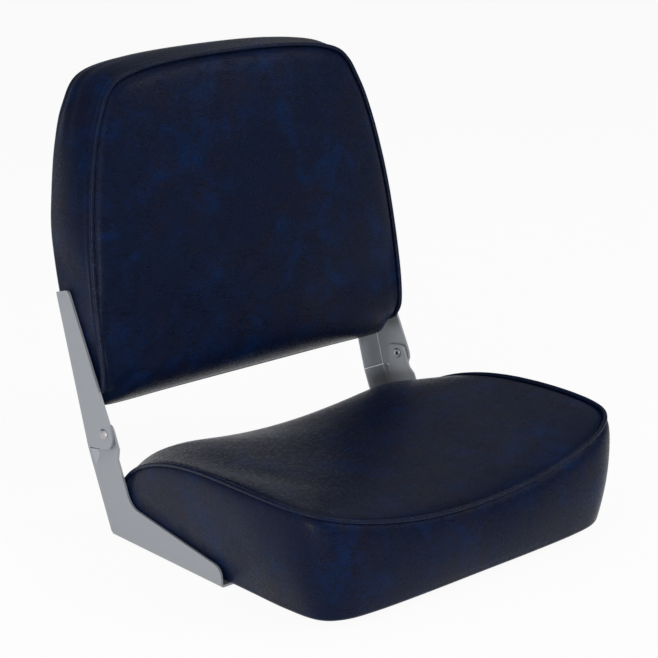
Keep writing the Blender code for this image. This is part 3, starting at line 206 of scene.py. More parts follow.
# Where the row between the tucked row and the side band lies, as a share of the way; then, for the
# bottom of the back, which has no seam, the same, how far its tucked row leaves the welt's place,
# and how far both rows are held
UNDER_WELT = 0.45
OPEN_UNDER = 0.6
OPEN_TUCK = 0.35
OPEN_HOLD = 0.4
# The share of the side band over which the front outline passes to the rear one
FLAT_SHARE = 0.25
CORNER_SPAN = 1.1
# The seam round the rear panel: for each ring how far inwards and how far ahead it lies
REAR_SEAM = ((0.0010, 0.0006), (0.0016, 0.0012), (0.0024, 0.0007))
REAR_SEAM_WIDTH = 0.003
REAR_PUFF = 0.0014
REAR_PUFF_START = 0.02
HEM_DEPTH = 0.001

# The cloth of the covers while it swells
CLOTH = {
    "quality": 6, "mass": 0.4, "tension_stiffness": 12.0, "compression_stiffness": 12.0,
    "shear_stiffness": 6.0, "bending_stiffness": 1.5, "pin_stiffness": 3.0,
}

# The lamps: name, width and height, place and the point that each faces
MIDDLE = (0.0, 0.05, 0.2)
LAMPS = (
    ("key", (1.4, 1.4), (-1.6, -0.3, 1.7), MIDDLE),
    ("side", (0.75, 0.30), (-0.75, 0.10, 0.10), (-0.1, 0.12, 0.15)),
    ("top", (1.4, 1.4), (0.2, 0.2, 2.3), MIDDLE),
    ("front", (0.5, 0.4), (-1.75, -1.90, 0.45), MIDDLE),
    ("right", (1.2, 0.8), (1.6, -1.9, 2.1), MIDDLE),
    ("rear", (1.0, 1.0), (1.35, 1.05, 1.45), MIDDLE),
)
FLOOR_WHITE = 0.94
DAYLIGHT = (0.97, 0.98, 1.0, 1.0)
# The camera: the width of its sensor in millimetres, and how far it sees
SENSOR_WIDTH = 36.0
FARTHEST = 40.0

# How the names of the brackets and of their screws start
BRACKETS = ("lower_bracket", "upper_bracket")
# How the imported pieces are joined, softened at their edges and shaded flat
WELD = 0.00001
EDGE_ANGLE = math.radians(24)
FLAT_WEIGHT = 80

DOWNWARD = Vector((0.0, 0.0, -1.0))
REARWARD = Vector((0.0, 1.0, 0.0))


# Settings


def length(name, description, default):
    """Return a setting in metres."""
    return FloatProperty(name=name, description=description, default=default, unit="LENGTH")


def power(name, description, default):
    """Return a setting in watts."""
    return FloatProperty(name=name, description=description, default=default, unit="POWER")


def angle(name, description, degrees):
    """Return a setting that is an angle."""
    return FloatProperty(name=name, description=description, default=math.radians(degrees),
                         subtype="ANGLE")


def tint(name, description, default):
    """Return a setting that is a colour."""
    return FloatVectorProperty(name=name, description=description, default=default,
                               subtype="COLOR")


class CoverSettings(bpy.types.PropertyGroup):
    """How the padded covers are stuffed and sewn."""

    seat_puff: length("Seat puff", "How far the seat's top swells beside its seam", 0.0026)
    shoulder: length("Shoulder", "How far the seat's side swells under its seam", 0.0040)
    back_puff: length("Back puff", "How far the back's front swells beside its seam", 0.0068)
    groove: length("Seam groove", "How far a face sinks under its welt", 0.0024)
    swell: length("Most swell", "How far the pressure may move a point", 0.0020)
    pressure: FloatProperty(
        name="Pressure", description="Pressure inside the covers while they swell", default=4.0)
    frames: IntProperty(
        name="Frames", description="Steps for which the covers swell", default=20)
    evening: IntProperty(
        name="Evening", description="Rounds of evening out the swelling", default=40)
    ridge: length("Seam ridge", "Height of the sewn allowance under the side band", 0.0011)
    ridge_behind: length("Ridge place", "Distance of the ridge behind the welt", 0.0070)


class WeltSettings(bpy.types.PropertyGroup):
    """The welt cord sewn into the edges."""

    radius: length("Radius", "Radius of the covered cord", 0.0023)
    steps: IntProperty(
        name="Steps", description="Points of the welt for each point of the outline", default=10)


class FinishSettings(bpy.types.PropertyGroup):
    """Colours of the vinyl, the paint and the bare pieces."""

    navy: tint("Navy", "Ground colour of the vinyl", (0.0045, 0.0096, 0.0310))
    blue: tint("Blue clouds", "Brighter clouds in the vinyl", (0.0028, 0.0175, 0.0740))
    grey: tint("Grey clouds", "Paler, purplish clouds in the vinyl", (0.0095, 0.0096, 0.0240))
    paint: tint("Bracket paint", "Satin grey paint", (0.32, 0.335, 0.365))
    steel: tint("Steel", "Rivets, screws and nuts", (0.45, 0.45, 0.47))
    plastic: tint("Plastic", "Moulded pan and board", (0.018, 0.018, 0.020))
    nylon: tint("Nylon", "Pivot washers", (0.55, 0.55, 0.52))


class StageSettings(bpy.types.PropertyGroup):
    """The floor, the lamps and the camera."""

    key: power("Key lamp", "Power of the large lamp", 10.0)
    side: power("Side lamp", "Power of the low panel at the left", 0.9)
    top: power("Top lamp", "Power of the lamp above", 7.0)
    front: power("Front lamp", "Power of the lamp in front", 28.0)
    right: power("Right lamp", "Power of the lamp at the right", 26.0)
    rear: power("Rear lamp", "Power of the lamp behind the seat", 1.5)
    ambient: FloatProperty(
        name="Ambient", description="Light from all round", default=0.20, min=0.0)
    floor_half: length("Floor", "Half the width of the floor", 25.0)
    lens: FloatProperty(name="Lens", description="Focal length in millimetres", default=109.4)
    azimuth: angle("Azimuth", "Heading of the view", 41.72)
    pitch: angle("Pitch", "How far the view looks down", 16.96)
    camera_place: FloatVectorProperty(
        name="Camera", description="Where the camera stands", subtype="TRANSLATION",
        default=(-1.28752, -1.38658, 0.79086))


class BoatSeatSettings(bpy.types.PropertyGroup):
    """All that a user may change."""

    cover: PointerProperty(type=CoverSettings)
    welt: PointerProperty(type=WeltSettings)
    finish: PointerProperty(type=FinishSettings)
    stage: PointerProperty(type=StageSettings)


def settings():
    """Return the settings kept with the scene."""
    return bpy.context.scene.boat_seat


# Sums shared by the two cushions


def mix(first, second, share):
    """Return the value a share of the way from the first to the second."""
    return first + (second - first) * share


def ease(share):
    """Return a share eased at both ends and held between 0 and 1."""
    held = min(1.0, max(0.0, share))
    return held * held * (3.0 - 2.0 * held)


def bell(distance, width):
    """Return a smooth bump of height 1 at no distance."""
    return math.exp(-(distance / width) ** 2)


def catmull(before, start, end, after, share):
    """Return a point on the smooth curve through start and end."""
    square = share * share
    cube = square * share
    return 0.5 * (2.0 * start + (end - before) * share
                  + (2.0 * before - 5.0 * start + 4.0 * end - after) * square
                  + (3.0 * start - before - 3.0 * end + after) * cube)


def whole(half):
    """Mirror a half outline of shares into the whole one."""
    right = [Vector(pair) for pair in half]
    return right + [Vector((-point.x, point.y)) for point in reversed(right[1:-1])]


def outline_at(keys, place):
    """Return the point at a place along an outline, counted in its points."""
    first = math.floor(place)
    around = [keys[(first + step) % len(keys)] for step in (-1, 0, 1, 2)]
    return catmull(*around, place - first)


def traced(half, places):
    """Return the points of an outline at some places."""
    keys = whole(half)
    return [outline_at(keys, place) for place in places]


def even_places(half, size, corners):
    """Return places along an outline, one for each column, even between its corners."""
    keys = whole(half)
    count = len(keys)
    first, second = corners
    stops = [0.0, first, second, count - second, count - first, float(count)]
    cells = [CELLS // 2, CELLS, CELLS, CELLS, CELLS // 2]
    places = []
    for start, end, number in zip(stops, stops[1:], cells):
        samples = FINE_CELLS * number
        fine = [mix(start, end, step / samples) for step in range(samples + 1)]
        points = [outline_at(keys, place) * Vector(size) for place in fine]
        lengths = [0.0]
        for here, there in zip(points, points[1:]):
            lengths.append(lengths[-1] + (there - here).length)
        index = 0
        for step in range(number):
            wanted = lengths[-1] * step / number
            while lengths[index + 1] < wanted:
                index += 1
            part = (wanted - lengths[index]) / (lengths[index + 1] - lengths[index])
            places.append(mix(fine[index], fine[index + 1], part))
    return places


def inset(points, distance):
    """Move a closed outline inwards by a distance."""
    count = len(points)
    middle = sum(points, Vector((0.0, 0.0))) / count
    moved = []
    for index, point in enumerate(points):
        along = points[(index + 1) % count] - points[index - 1]
        normal = Vector((along.y, -along.x)).normalized()
        if normal.dot(point - middle) < 0:
            normal.negate()
        moved.append(point - normal * distance)
    return moved


def between(ring, column):
    """Return the point of a ring at a column that may lie between two points."""
    first = math.floor(column)
    count = len(ring)
    return ring[first % count].lerp(ring[(first + 1) % count], column - first)


def column_of(across, along):
    """Return the column and the ring share of a point of the square grid from -1 to 1."""
    reach = max(abs(across), abs(along))
    if reach < TINY:
        return 0.0, 0.0
    side = CELLS / 2
    across, along = across / reach, along / reach
    if along <= -1.0 + TINY:
        column = side * across
    elif across >= 1.0 - TINY:
        column = side * (2.0 + along)
    elif along >= 1.0 - TINY:
        column = side * (4.0 - across)
    else:
        column = side * (6.0 - along)
    return column % (4 * CELLS), reach


def face_share(reach):
    """Return how far inside its seam a point of a face lies; rings crowd towards the seam."""
    left = 1.0 - reach
    return left * (1.0 + CROWDING * left) / (1.0 + CROWDING)


def towards_seam(edge, middle, share):
    """Return the place in plan of a face's point a share inside its seam, and its distance."""
    out = edge - middle
    run = out.length - PIPE_SEAM * SEAM_GAP
    return middle + out * (run * (1.0 - share) / out.length), run * share


def rim_hold(reach):
    """Return how far the seam holds a point of a face."""
    return ease((reach - RIM_START) / RIM_SPAN)


def band_hold(share, holds):
    """Return how far the seams at both ends of a side band hold one of its rings."""
    near, near_span, far, far_span = holds
    return max(ease((near - share) / near_span), ease((share - far) / far_span))


def puffed(distance, start, reach):
    """Return how much of the stuffing's rise stands at a distance from a seam."""
    return (1.0 - math.exp(-distance / start)) * math.exp(-distance / reach)


def seam_profile(distance, cover, puff, seamed=1.0):
    """Return how far a face stands above its plain form at a distance from its seam."""
    sink = cover.groove * bell(distance, GROOVE_WIDTH)
    return puff * puffed(distance, PUFF_START, PUFF_REACH) - sink * seamed


# The cushion meshes


def linked(name, data):
    """Add an object to the scene."""
    made = bpy.data.objects.new(name, data)
    bpy.context.scene.collection.objects.link(made)
    return made


def closed_mesh(bm, name, vinyl):
    """Make a smooth object of a mesh, joined at its seams and facing outwards."""
    bmesh.ops.remove_doubles(bm, verts=bm.verts, dist=TINY)
    bmesh.ops.recalc_face_normals(bm, faces=bm.faces)
    for part in bm.faces:
        part.smooth = True
    mesh = bpy.data.meshes.new(name)
    bm.to_mesh(mesh)
    mesh.materials.append(vinyl)
    return linked(name, mesh)


class Skin:
    """A padded cover in the making."""

    def __init__(self, columns):
        self.bm = bmesh.new()
        self.column = self.bm.verts.layers.int.new("column")
        self.hold = self.bm.verts.layers.float.new("hold")
        self.columns = columns
        self.edge = []

    def face(self, place, hold):
        """Lay a grid over a face; its rim is left ready to be carried on."""
        made = bmesh.ops.create_grid(self.bm, x_segments=CELLS, y_segments=CELLS, size=1.0)
        rim = []
        for vert in made["verts"]:
            column, reach = column_of(vert.co.x, vert.co.y)
            vert.co = place(column, reach)
            vert[self.hold] = hold(reach)
            if reach > 1.0 - TINY:
                vert[self.column] = round(column) % self.columns
                rim.append(vert)
        found = set(rim)
        self.edge = [edge for edge in self.bm.edges
                     if edge.is_boundary and edge.verts[0] in found and edge.verts[1] in found]

    def row(self, ring, hold):
        """Carry the rim on to another ring."""
        made = bmesh.ops.extrude_edge_only(self.bm, edges=self.edge)
        for item in made["geom"]:
            if isinstance(item, bmesh.types.BMVert):
                column = item[self.column]
                item.co = ring[column]
                item[self.hold] = hold[column] if isinstance(hold, list) else hold
        self.edge = [item for item in made["geom"] if isinstance(item, bmesh.types.BMEdge)
                     and item.is_boundary]

    def finish(self, name, vinyl):
        """Make the object, with its hold as a vertex group."""
        made = closed_mesh(self.bm, name, vinyl)
        group = made.vertex_groups.new(name="hold")
        for index, vert in enumerate(self.bm.verts):
            if vert[self.hold] > 0.0:
                group.add([index], min(1.0, vert[self.hold]), "REPLACE")
        self.bm.free()
        return made


def swell(made, limit, keep_in=None):
    """Inflate a cover a little against its held seams, and keep the result in its mesh."""
    cover = settings().cover
    mesh = made.data
    start = [vert.co.copy() for vert in mesh.vertices]
    cloth = made.modifiers.new("Stuffing", "CLOTH")
    sewn = cloth.settings
    for name, value in CLOTH.items():
        setattr(sewn, name, value)
    sewn.use_pressure = True
    sewn.uniform_pressure_force = cover.pressure
    sewn.vertex_group_mass = "hold"
    sewn.effector_weights.gravity = 0.0
    cloth.collision_settings.use_collision = False
    cloth.collision_settings.use_self_collision = False
    cloth.point_cache.frame_start = 1
    cloth.point_cache.frame_end = cover.frames
    scene = bpy.context.scene
    for step in range(1, cover.frames + 1):
        scene.frame_set(step)
    graph = bpy.context.evaluated_depsgraph_get()
    moved = [vert.co.copy() for vert in made.evaluated_get(graph).data.vertices]
    made.modifiers.remove(cloth)
    scene.frame_set(1)
    group = made.vertex_groups["hold"].index
    free = [1.0 - max([part.weight for part in vert.groups if part.group == group], default=0.0)
            for vert in mesh.vertices]
    shifts = [there - here for here, there in zip(start, moved)]
    for index, shift in enumerate(shifts):
        if shift.length > limit:
            shifts[index] = shift * (limit / shift.length)
    shifts = evened(mesh, shifts, cover.evening)
    for vert, here, shift, share in zip(mesh.vertices, start, shifts, free):
        vert.co = here + shift * share
        if keep_in:
            vert.co = keep_in(vert.co, here)


def evened(mesh, shifts, rounds):
    """Average each point's shift with its neighbours', so that the stuffing leaves no creases."""
    for _ in range(rounds):
        totals = [shift.copy() for shift in shifts]
        counts = [1] * len(shifts)
        for edge in mesh.edges:
            first, second = edge.vertices
            totals[first] += shifts[second]
            totals[second] += shifts[first]
            counts[first] += 1
            counts[second] += 1
        shifts = [total / number for total, number in zip(totals, counts)]
    return shifts


def subdivide(made):
    """Round a cover once more."""
    step = made.modifiers.new("Round", "SUBSURF")
    step.levels = 1
    step.render_levels = 1


# Seat cushion


def flange_y(lean, offset, height):
    """Return where a line along a leaning rear flange passes a height."""
    return PIVOT_Y + (offset + (height - PIVOT_Z) * math.sin(lean)) / math.cos(lean)


def arm_top(reach):
    """Return how high the lower bracket covers the side at a distance ahead of the pivot."""
    root = PIVOT_Y - flange_y(LOWER_LEAN, -LOWER_FRONT_OFFSET, LOWER_BOTTOM + LOWER_ARM_HEIGHT)
    if reach < root:
        return PIVOT_Z
    slope = (LOWER_ARM_HEIGHT - LOWER_TIP_HEIGHT) / (LOWER_REACH - root)
    return LOWER_BOTTOM + LOWER_ARM_HEIGHT - slope * (reach - root)


def saddle(share_across):
    """Return the height of the saddle that the seat's top follows."""
    return SEAT_MID_HEIGHT + SEAT_SIDE_RISE * share_across * share_across


class SeatShape:
    """The rings of the seat's cover."""

    def __init__(self, places):
        self.tops = traced(SEAT_TOP_SHARES, places)
        self.bases = traced(SEAT_BASE_SHARES, places)
        self.heights = [self.welt_height(point) for point in self.tops]
        plan = inset(self.outline(self.heights, 1.0), PIPE_INSET)
        self.welt = [self.lifted(self.held(point, height), height)
                     for point, height in zip(plan, self.heights)]
        front = min(point.y for point in self.welt)
        rear = max(point.y for point in self.welt)
        self.middle = Vector((0.0, (front + rear) / 2))

    @staticmethod
    def lifted(point, height):
        """Return a plan point at its height."""
        return Vector((point.x, point.y, height))

    @staticmethod
    def welt_height(point):
        """Return the welt's height at a point of the top outline."""
        fall = max(0.0, 1.0 - point.y / REAR_FALL_SHARE) ** REAR_FALL_POWER
        return mix(saddle(point.x), SEAT_REAR_HEIGHT, min(1.0, REAR_FALL_GAIN * fall))

    def outline(self, heights, share):
        """Return the side's outline at each point's height, from the base to the top."""
        points = []
        for top, base, level in zip(self.tops, self.bases, heights):
            rear = flange_y(LOWER_LEAN, LOWER_REAR_OFFSET - SHEET - 2 * CLEAR, level)
            front = PIVOT_Y - mix(SEAT_BASE_REACH, SEAT_FRONT_REACH, share)
            across = mix(base.x * SEAT_BASE_HALF_WIDTH, top.x * SEAT_HALF_WIDTH, share)
            points.append(Vector((across, mix(rear, front, mix(base.y, top.y, share)))))
        return points

    @staticmethod
    def held(point, height):
        """Hold a point of the side inside the lower bracket where its arm covers it."""
        reach = PIVOT_Y - point.y
        limit = HINGE_HALF_WIDTH - SHEET - 3 * CLEAR
        if height > PIVOT_Z - 2 * JOGGLE_TOP_DROP:
            limit = HINGE_HALF_WIDTH - SHEET - EAR_INSET - 3 * CLEAR
        inside = ease((height - arm_top(reach)) / (2 * LOWER_TIP_RADIUS))
        inside = max(inside, ease((reach - LOWER_REACH) / LOWER_TIP_RADIUS))
        if abs(point.x) > limit:
            held = mix(limit, abs(point.x), inside)
            return Vector((math.copysign(held, point.x), point.y))
        return point

    def face_point(self, column, reach, cover):
        """Return a point of the crowned top."""
        edge = between(self.welt, column)
        share = face_share(reach)
        plan, distance = towards_seam(Vector((edge.x, edge.y)), self.middle, share)
        drop = saddle(edge.x / SEAT_HALF_WIDTH) - edge.z
        height = saddle(plan.x / SEAT_HALF_WIDTH)
        height += SEAT_CROWN * (1.0 - (1.0 - share) ** CROWN_POWER)
        height -= drop * (1.0 - share) ** SEAT_EDGE_POWER
        return Vector((plan.x, plan.y, height + seam_profile(distance, cover, cover.seat_puff)))

    def band_ring(self, share, shoulder=0.0):
        """Return a ring of the side, from under the welt at 0 to the roll at 1."""
        low = HEM_BOTTOM + ROLL_RADIUS
        levels = [mix(height - PIPE_SEAM, low, share) for height in self.heights]
        plan = self.outline(levels, 1.0 - share)
        bulge_share = math.sin(math.pi * share)
        front = min(point.y for point in plan)
        ring = []
        for point, beyond, level in zip(plan, inset(plan, -1.0), levels):
            normal = beyond - point
            ahead = ease((front + SEAT_BASE_HALF_WIDTH - point.y) / SEAT_BASE_HALF_WIDTH)
            bulge = mix(SEAT_SIDE_BULGE, SEAT_FRONT_BULGE, ahead) * (1.0 - max(0.0, normal.y))
            below = share * (level - low) / (1.0 - share) if share < 1.0 else 1.0
            puff = shoulder * puffed(below, SHOULDER_START, SHOULDER_REACH)
            place = point + normal * (bulge * bulge_share + puff)
            ring.append(self.lifted(self.held(place, level), level))
        return ring

    def base_ring(self, distance, height):
        """Return the base outline moved inwards, at a height."""
        base = self.outline([HEM_BOTTOM + ROLL_RADIUS] * len(self.bases), 0.0)
        return [self.lifted(point, height) for point in inset(base, distance)]


def build_seat_cushion(vinyl):
    """Make the seat's padded cover: crowned top, side band, roll and hem."""
    cover = settings().cover
    shape = SeatShape(
        even_places(SEAT_TOP_SHARES, (SEAT_HALF_WIDTH, SEAT_FRONT_REACH), SEAT_CORNERS))
    skin = Skin(len(shape.welt))
    skin.face(lambda column, reach: shape.face_point(column, reach, cover), rim_hold)
    tucked = [point + DOWNWARD * (PIPE_SEAM * TUCK) for point in shape.welt]
    skin.row(tucked, 1.0)
    under = shape.band_ring(0.0)
    skin.row([point.lerp(tuck, UNDER_WELT) for point, tuck in zip(under, tucked)], 1.0)
    for share in SEAT_BAND_SHARES:
        ring = shape.band_ring(share, cover.shoulder)
        edge = band_hold(share, SEAT_HOLDS)
        skin.row(ring, [max(edge, covered(point)) for point in ring])
    low = HEM_BOTTOM + ROLL_RADIUS
    for step in range(1, ROLL_STEPS + 1):
        turn = math.pi / 2 * step / ROLL_STEPS
        skin.row(shape.base_ring(ROLL_RADIUS * (1.0 - math.cos(turn)),
                                 low - ROLL_RADIUS * math.sin(turn)), 1.0)
    for distance, height in ((mix(ROLL_RADIUS, HEM_WIDTH, 0.5), 0.0), (HEM_WIDTH, 0.0),
                             (HEM_WIDTH, HEM_DEPTH), (PAN_LAND_GAP, HEM_DEPTH)):
        skin.row(shape.base_ring(distance, HEM_BOTTOM + height), 1.0)
    last = shape.base_ring(PAN_LAND_GAP, PAN_DECK_TOP)
    skin.row(last, 1.0)
    middle = Vector((*shape.middle, PAN_DECK_TOP))
    skin.face(lambda column, reach: middle.lerp(between(last, column), reach), lambda reach: 1.0)
    made = skin.finish("seat_cushion", vinyl)
    swell(made, cover.swell, keep_seat_in)
    subdivide(made)
    return made


def covered(point):
    """Return how far a point of the seat's side is pressed by the lower bracket."""
    if abs(point.x) < HINGE_HALF_WIDTH - BESIDE_ARM:
        return 0.0
    reach = PIVOT_Y - point.y
    near = 1.0 - ease((point.z - arm_top(reach)) / PRESS_SPAN)
    return near * (1.0 - ease((reach - LOWER_REACH) / PRESS_SPAN))


def keep_seat_in(point, start):
    """Hold a swollen point inside the brackets."""
    plan = SeatShape.held(Vector((point.x, point.y)), point.z)
    return Vector((plan.x, point.y, point.z)) if covered(start) > 0.0 else point


# Back cushion


def back_plane_y(height):
    """Return where the plane of the back's front edge passes a height."""
    return PIVOT_Y - BACK_FACE_AHEAD + (height - PIVOT_Z) * math.tan(BACK_LEAN)


def back_knots():
    """Return the rear face's profile as heights and places, bottom to top."""
    flange = UPPER_REAR_OFFSET - SHEET - CLEAR
    knee = PIVOT_Z + BACK_KNEE_HEIGHT
    bend = knee + BACK_KNEE_LENGTH
    top = PIVOT_Z + BACK_BOTTOM + BACK_HEIGHT + BACK_ROLL
    knee_y = flange_y(UPPER_LEAN, flange, knee)
    bend_y = knee_y + BACK_KNEE_LENGTH * math.tan(BACK_KNEE_LEAN)
    return [(PIVOT_Z, flange_y(UPPER_LEAN, flange, PIVOT_Z)), (knee, knee_y), (bend, bend_y),
            (top, bend_y + (top - bend) * math.tan(BACK_TOP_LEAN))]


def back_sharp_rear_y(height):
    """Return where the back's rear face passes a height, with a crease at each bend."""
    knots = back_knots()
    for (low, low_y), (high, high_y) in zip(knots, knots[1:]):
        if height <= high:
            return mix(low_y, high_y, (height - low) / (high - low))
    return knots[-1][1]


def back_rear_y(height):
    """Return where the back's rear face passes a height, with its bends rounded."""
    if height < PIVOT_Z + BACK_KNEE_HEIGHT - KNEE_SPREAD:
        return back_sharp_rear_y(height)
    around = [back_sharp_rear_y(height + KNEE_SPREAD * step) for step in KNEE_STEPS]
    return sum(around) / len(around)


class BackShape:
    """The rings of the back's cover."""

    def __init__(self, places):
        self.places = places
        shares = traced(BACK_SHARES, places)
        self.plan = [self.scaled(point, BACK_HALF_WIDTH) for point in shares]
        self.rear = [self.scaled(point, BACK_REAR_HALF_WIDTH)
                     for point in traced(BACK_REAR_SHARES, places)]
        self.edge = []
        for point, share in zip(self.plan, shares):
            roll = BACK_ROLL * ease(1.0 - share.y / BACK_ROLL_SHARE)
            self.edge.append(Vector((point.x, back_plane_y(point.y) + roll, point.y)))
        self.middle = Vector((0.0, PIVOT_Z + BACK_BOTTOM + BACK_HEIGHT / 2))
        turns = len(whole(BACK_SHARES))
        self.seamed = [
            ease((min(place, turns - place) - TURN_START + TURN_SPAN / 2) / TURN_SPAN)
            for place in places]

    def wrap_under(self):
        """Let the front panel, which has no seam at the bottom, roll deeper and hang lower."""
        for edge, plan, seam in zip(self.edge, self.plan, self.seamed):
            edge.y += WRAP_DEPTH * (1.0 - seam)
            edge.z -= WRAP_SAG * (1.0 - seam)
            plan.y -= WRAP_SAG * (1.0 - seam)

    @staticmethod
    def scaled(share, half_width):
        """Return a point in X and Z from its shares."""
        return Vector((share.x * half_width, PIVOT_Z + BACK_BOTTOM + share.y * BACK_HEIGHT))

    def face_point(self, column, reach, cover):
        """Return a point of the crowned front."""
        edge = between(self.edge, column)
        first = math.floor(column)
        count = len(self.edge)
        seamed = mix(self.seamed[first % count], self.seamed[(first + 1) % count], column - first)
        share = face_share(reach)
        plan, distance = towards_seam(Vector((edge.x, edge.z)), self.middle, share)
        roll = edge.y - back_plane_y(edge.z)
        place = back_plane_y(plan.y) + roll * (1.0 - share) ** BACK_EDGE_POWER
        place -= BACK_CROWN * (1.0 - (1.0 - share) ** CROWN_POWER)
        puff = seam_profile(distance, cover, cover.back_puff, seamed)
        place -= puff * mix(OPEN_PUFF, 1.0, seamed)
        beside = mix(FOLD_MIDDLE, 1.0, ease((abs(plan.x) - FOLD_START) / FOLD_WIDTH))
        room = bell(plan.y - FOLD_HEIGHT, FOLD_SPREAD) * beside
        place += FOLD_ROOM * room * ease(distance / FOLD_RAMP)
        return Vector((plan.x, place, plan.y))

    def band_ring(self, share, cover=None):
        """Return a ring of the side, from behind the welt at 0 to the rear at 1."""
        flat = [point.lerp(rear, ease(share / FLAT_SHARE))
                for point, rear in zip(self.plan, self.rear)]
        bracket_top = PIVOT_Z + UPPER_ABOVE_PIVOT
        ring = []
        for index, (point, beyond) in enumerate(zip(flat, inset(flat, -1.0))):
            normal = beyond - point
            free = ease((point.y - bracket_top) / BACK_KNEE_LENGTH)
            start = self.edge[index].y + PIPE_SEAM
            rear = back_rear_y(point.y)
            raised = BACK_BULGE * free * math.sin(math.pi * share)
            if cover:
                raised += self.relief(index, (rear - start) * share, share, cover)
            point = point + normal * raised
            ring.append(Vector((point.x, mix(start, rear, share), point.y)))
        return ring

    def relief(self, index, behind, share, cover):
        """Return the height of the sewn ridge and the corner folds on the side band."""
        place = min(self.places[index], len(whole(BACK_SHARES)) - self.places[index])
        from_welt = behind + PIPE_SEAM
        ridge = bell(from_welt - cover.ridge_behind, RIDGE_WIDTH)
        valley = VALLEY_DEPTH * bell(from_welt - VALLEY_SHARE * cover.ridge_behind, VALLEY_WIDTH)
        folds = sum(height * bell(share - middle - slope * (place - CORNER_PLACE), width)
                    for middle, slope, width, height in CORNER_FOLDS)
        sewn = self.seamed[index] * cover.ridge * (ridge - valley)
        return sewn + folds * bell(place - CORNER_PLACE, CORNER_SPAN)

    def rear_ring(self, distance, ahead):
        """Return the rear outline moved inwards and towards the front."""
        return [Vector((point.x, back_rear_y(point.y) - ahead, point.y))
                for point in inset(self.rear, distance)]


def pressed(point):
    """Return how far a point of the back is pressed by an upper bracket."""
    edge = HINGE_HALF_WIDTH - FLANGE_WIDTH - PRESS_MARGIN
    above = point.z - PIVOT_Z - UPPER_ABOVE_PIVOT - PRESS_TOP
    return ease((abs(point.x) - edge) / PRESS_SPAN) * (1.0 - ease(above / PRESS_TOP_SPAN))


def build_back_cushion(vinyl):
    """Make the back's padded cover: crowned front, side band and flat rear."""
    cover = settings().cover
    shape = BackShape(even_places(BACK_SHARES, (BACK_HALF_WIDTH, BACK_HEIGHT), BACK_CORNERS))
    shape.wrap_under()
    skin = Skin(len(shape.edge))
    skin.face(lambda column, reach: shape.face_point(column, reach, cover), rim_hold)
    behind = shape.band_ring(0.0)
    tucked = []
    for point, seam, start in zip(shape.edge, shape.seamed, behind):
        sewn = point + REARWARD * (PIPE_SEAM * TUCK)
        tucked.append(sewn.lerp(point.lerp(start, OPEN_TUCK), 1.0 - seam))
    sewn_hold = [mix(OPEN_HOLD, 1.0, seam) for seam in shape.seamed]
    skin.row(tucked, sewn_hold)
    under = [tuck.lerp(start, mix(OPEN_UNDER, UNDER_WELT, seam))
             for tuck, start, seam in zip(tucked, behind, shape.seamed)]
    skin.row(under, sewn_hold)
    for share in BACK_BAND_SHARES:
        ring = shape.band_ring(share, cover)
        edge = band_hold(share, BACK_HOLDS)
        skin.row(ring, [max(edge, pressed(point)) for point in ring])
    for distance, ahead in REAR_SEAM:
        last = shape.rear_ring(distance, ahead)
        skin.row(last, 1.0)
    sunk = REAR_SEAM[-1][1]

    def rear_point(column, reach):
        edge = between(last, column)
        if reach > 1.0 - TINY:
            return edge
        rim = Vector((edge.x, edge.z))
        plan = shape.middle.lerp(rim, 1.0 - face_share(reach))
        away = (rim - plan).length
        point = Vector((plan.x, back_rear_y(plan.y), plan.y))
        point.y -= sunk * bell(away, REAR_SEAM_WIDTH)
        free = 1.0 - pressed(point)
        point.y += REAR_PUFF * free * (1.0 - math.exp(-away / REAR_PUFF_START))
        return point

    skin.face(rear_point, lambda reach: 1.0)
    made = skin.finish("back_cushion", vinyl)
    swell(made, cover.swell)
    subdivide(made)
    return made


# Welts


def smooth_path(points, closed, steps):
    """Return a denser path on the smooth curve through some points."""
    count = len(points)
    path = []
    for index in range(count if closed else count - 1):
        ends = [index + step for step in (-1, 0, 1, 2)]
        around = [points[end % count if closed else min(count - 1, max(0, end))] for end in ends]
        path.extend(catmull(*around, step / steps) for step in range(steps))
    if not closed:
        path.append(points[-1])
    return path


def build_welt(name, path, closed, vinyl):
    """Make a covered cord along a path."""
    curve = bpy.data.curves.new(name, "CURVE")
    curve.dimensions = "3D"
    curve.bevel_depth = settings().welt.radius
    curve.bevel_resolution = WELT_SIDES
    curve.use_fill_caps = not closed
    line = curve.splines.new("POLY")
    line.points.add(len(path) - 1)
    for slot, point in zip(line.points, path):
        slot.co = (*point, 1.0)
    line.use_cyclic_u = closed
    line.use_smooth = True
    lofted = linked(name + "_path", curve)
    bpy.context.view_layer.update()
    graph = bpy.context.evaluated_depsgraph_get()
    raw = bpy.data.meshes.new_from_object(lofted.evaluated_get(graph))
    bpy.data.objects.remove(lofted, do_unlink=True)
    bm = bmesh.new()
    bm.from_mesh(raw)
    bpy.data.meshes.remove(raw)
    made = closed_mesh(bm, name, vinyl)
    bm.free()
    return made


def seat_welt_path():
    """Return the seat's welt: once round the top."""
    count = len(whole(SEAT_TOP_SHARES))
    shape = SeatShape([index / 2 for index in range(2 * count)])
    return smooth_path(shape.welt, True, settings().welt.steps)


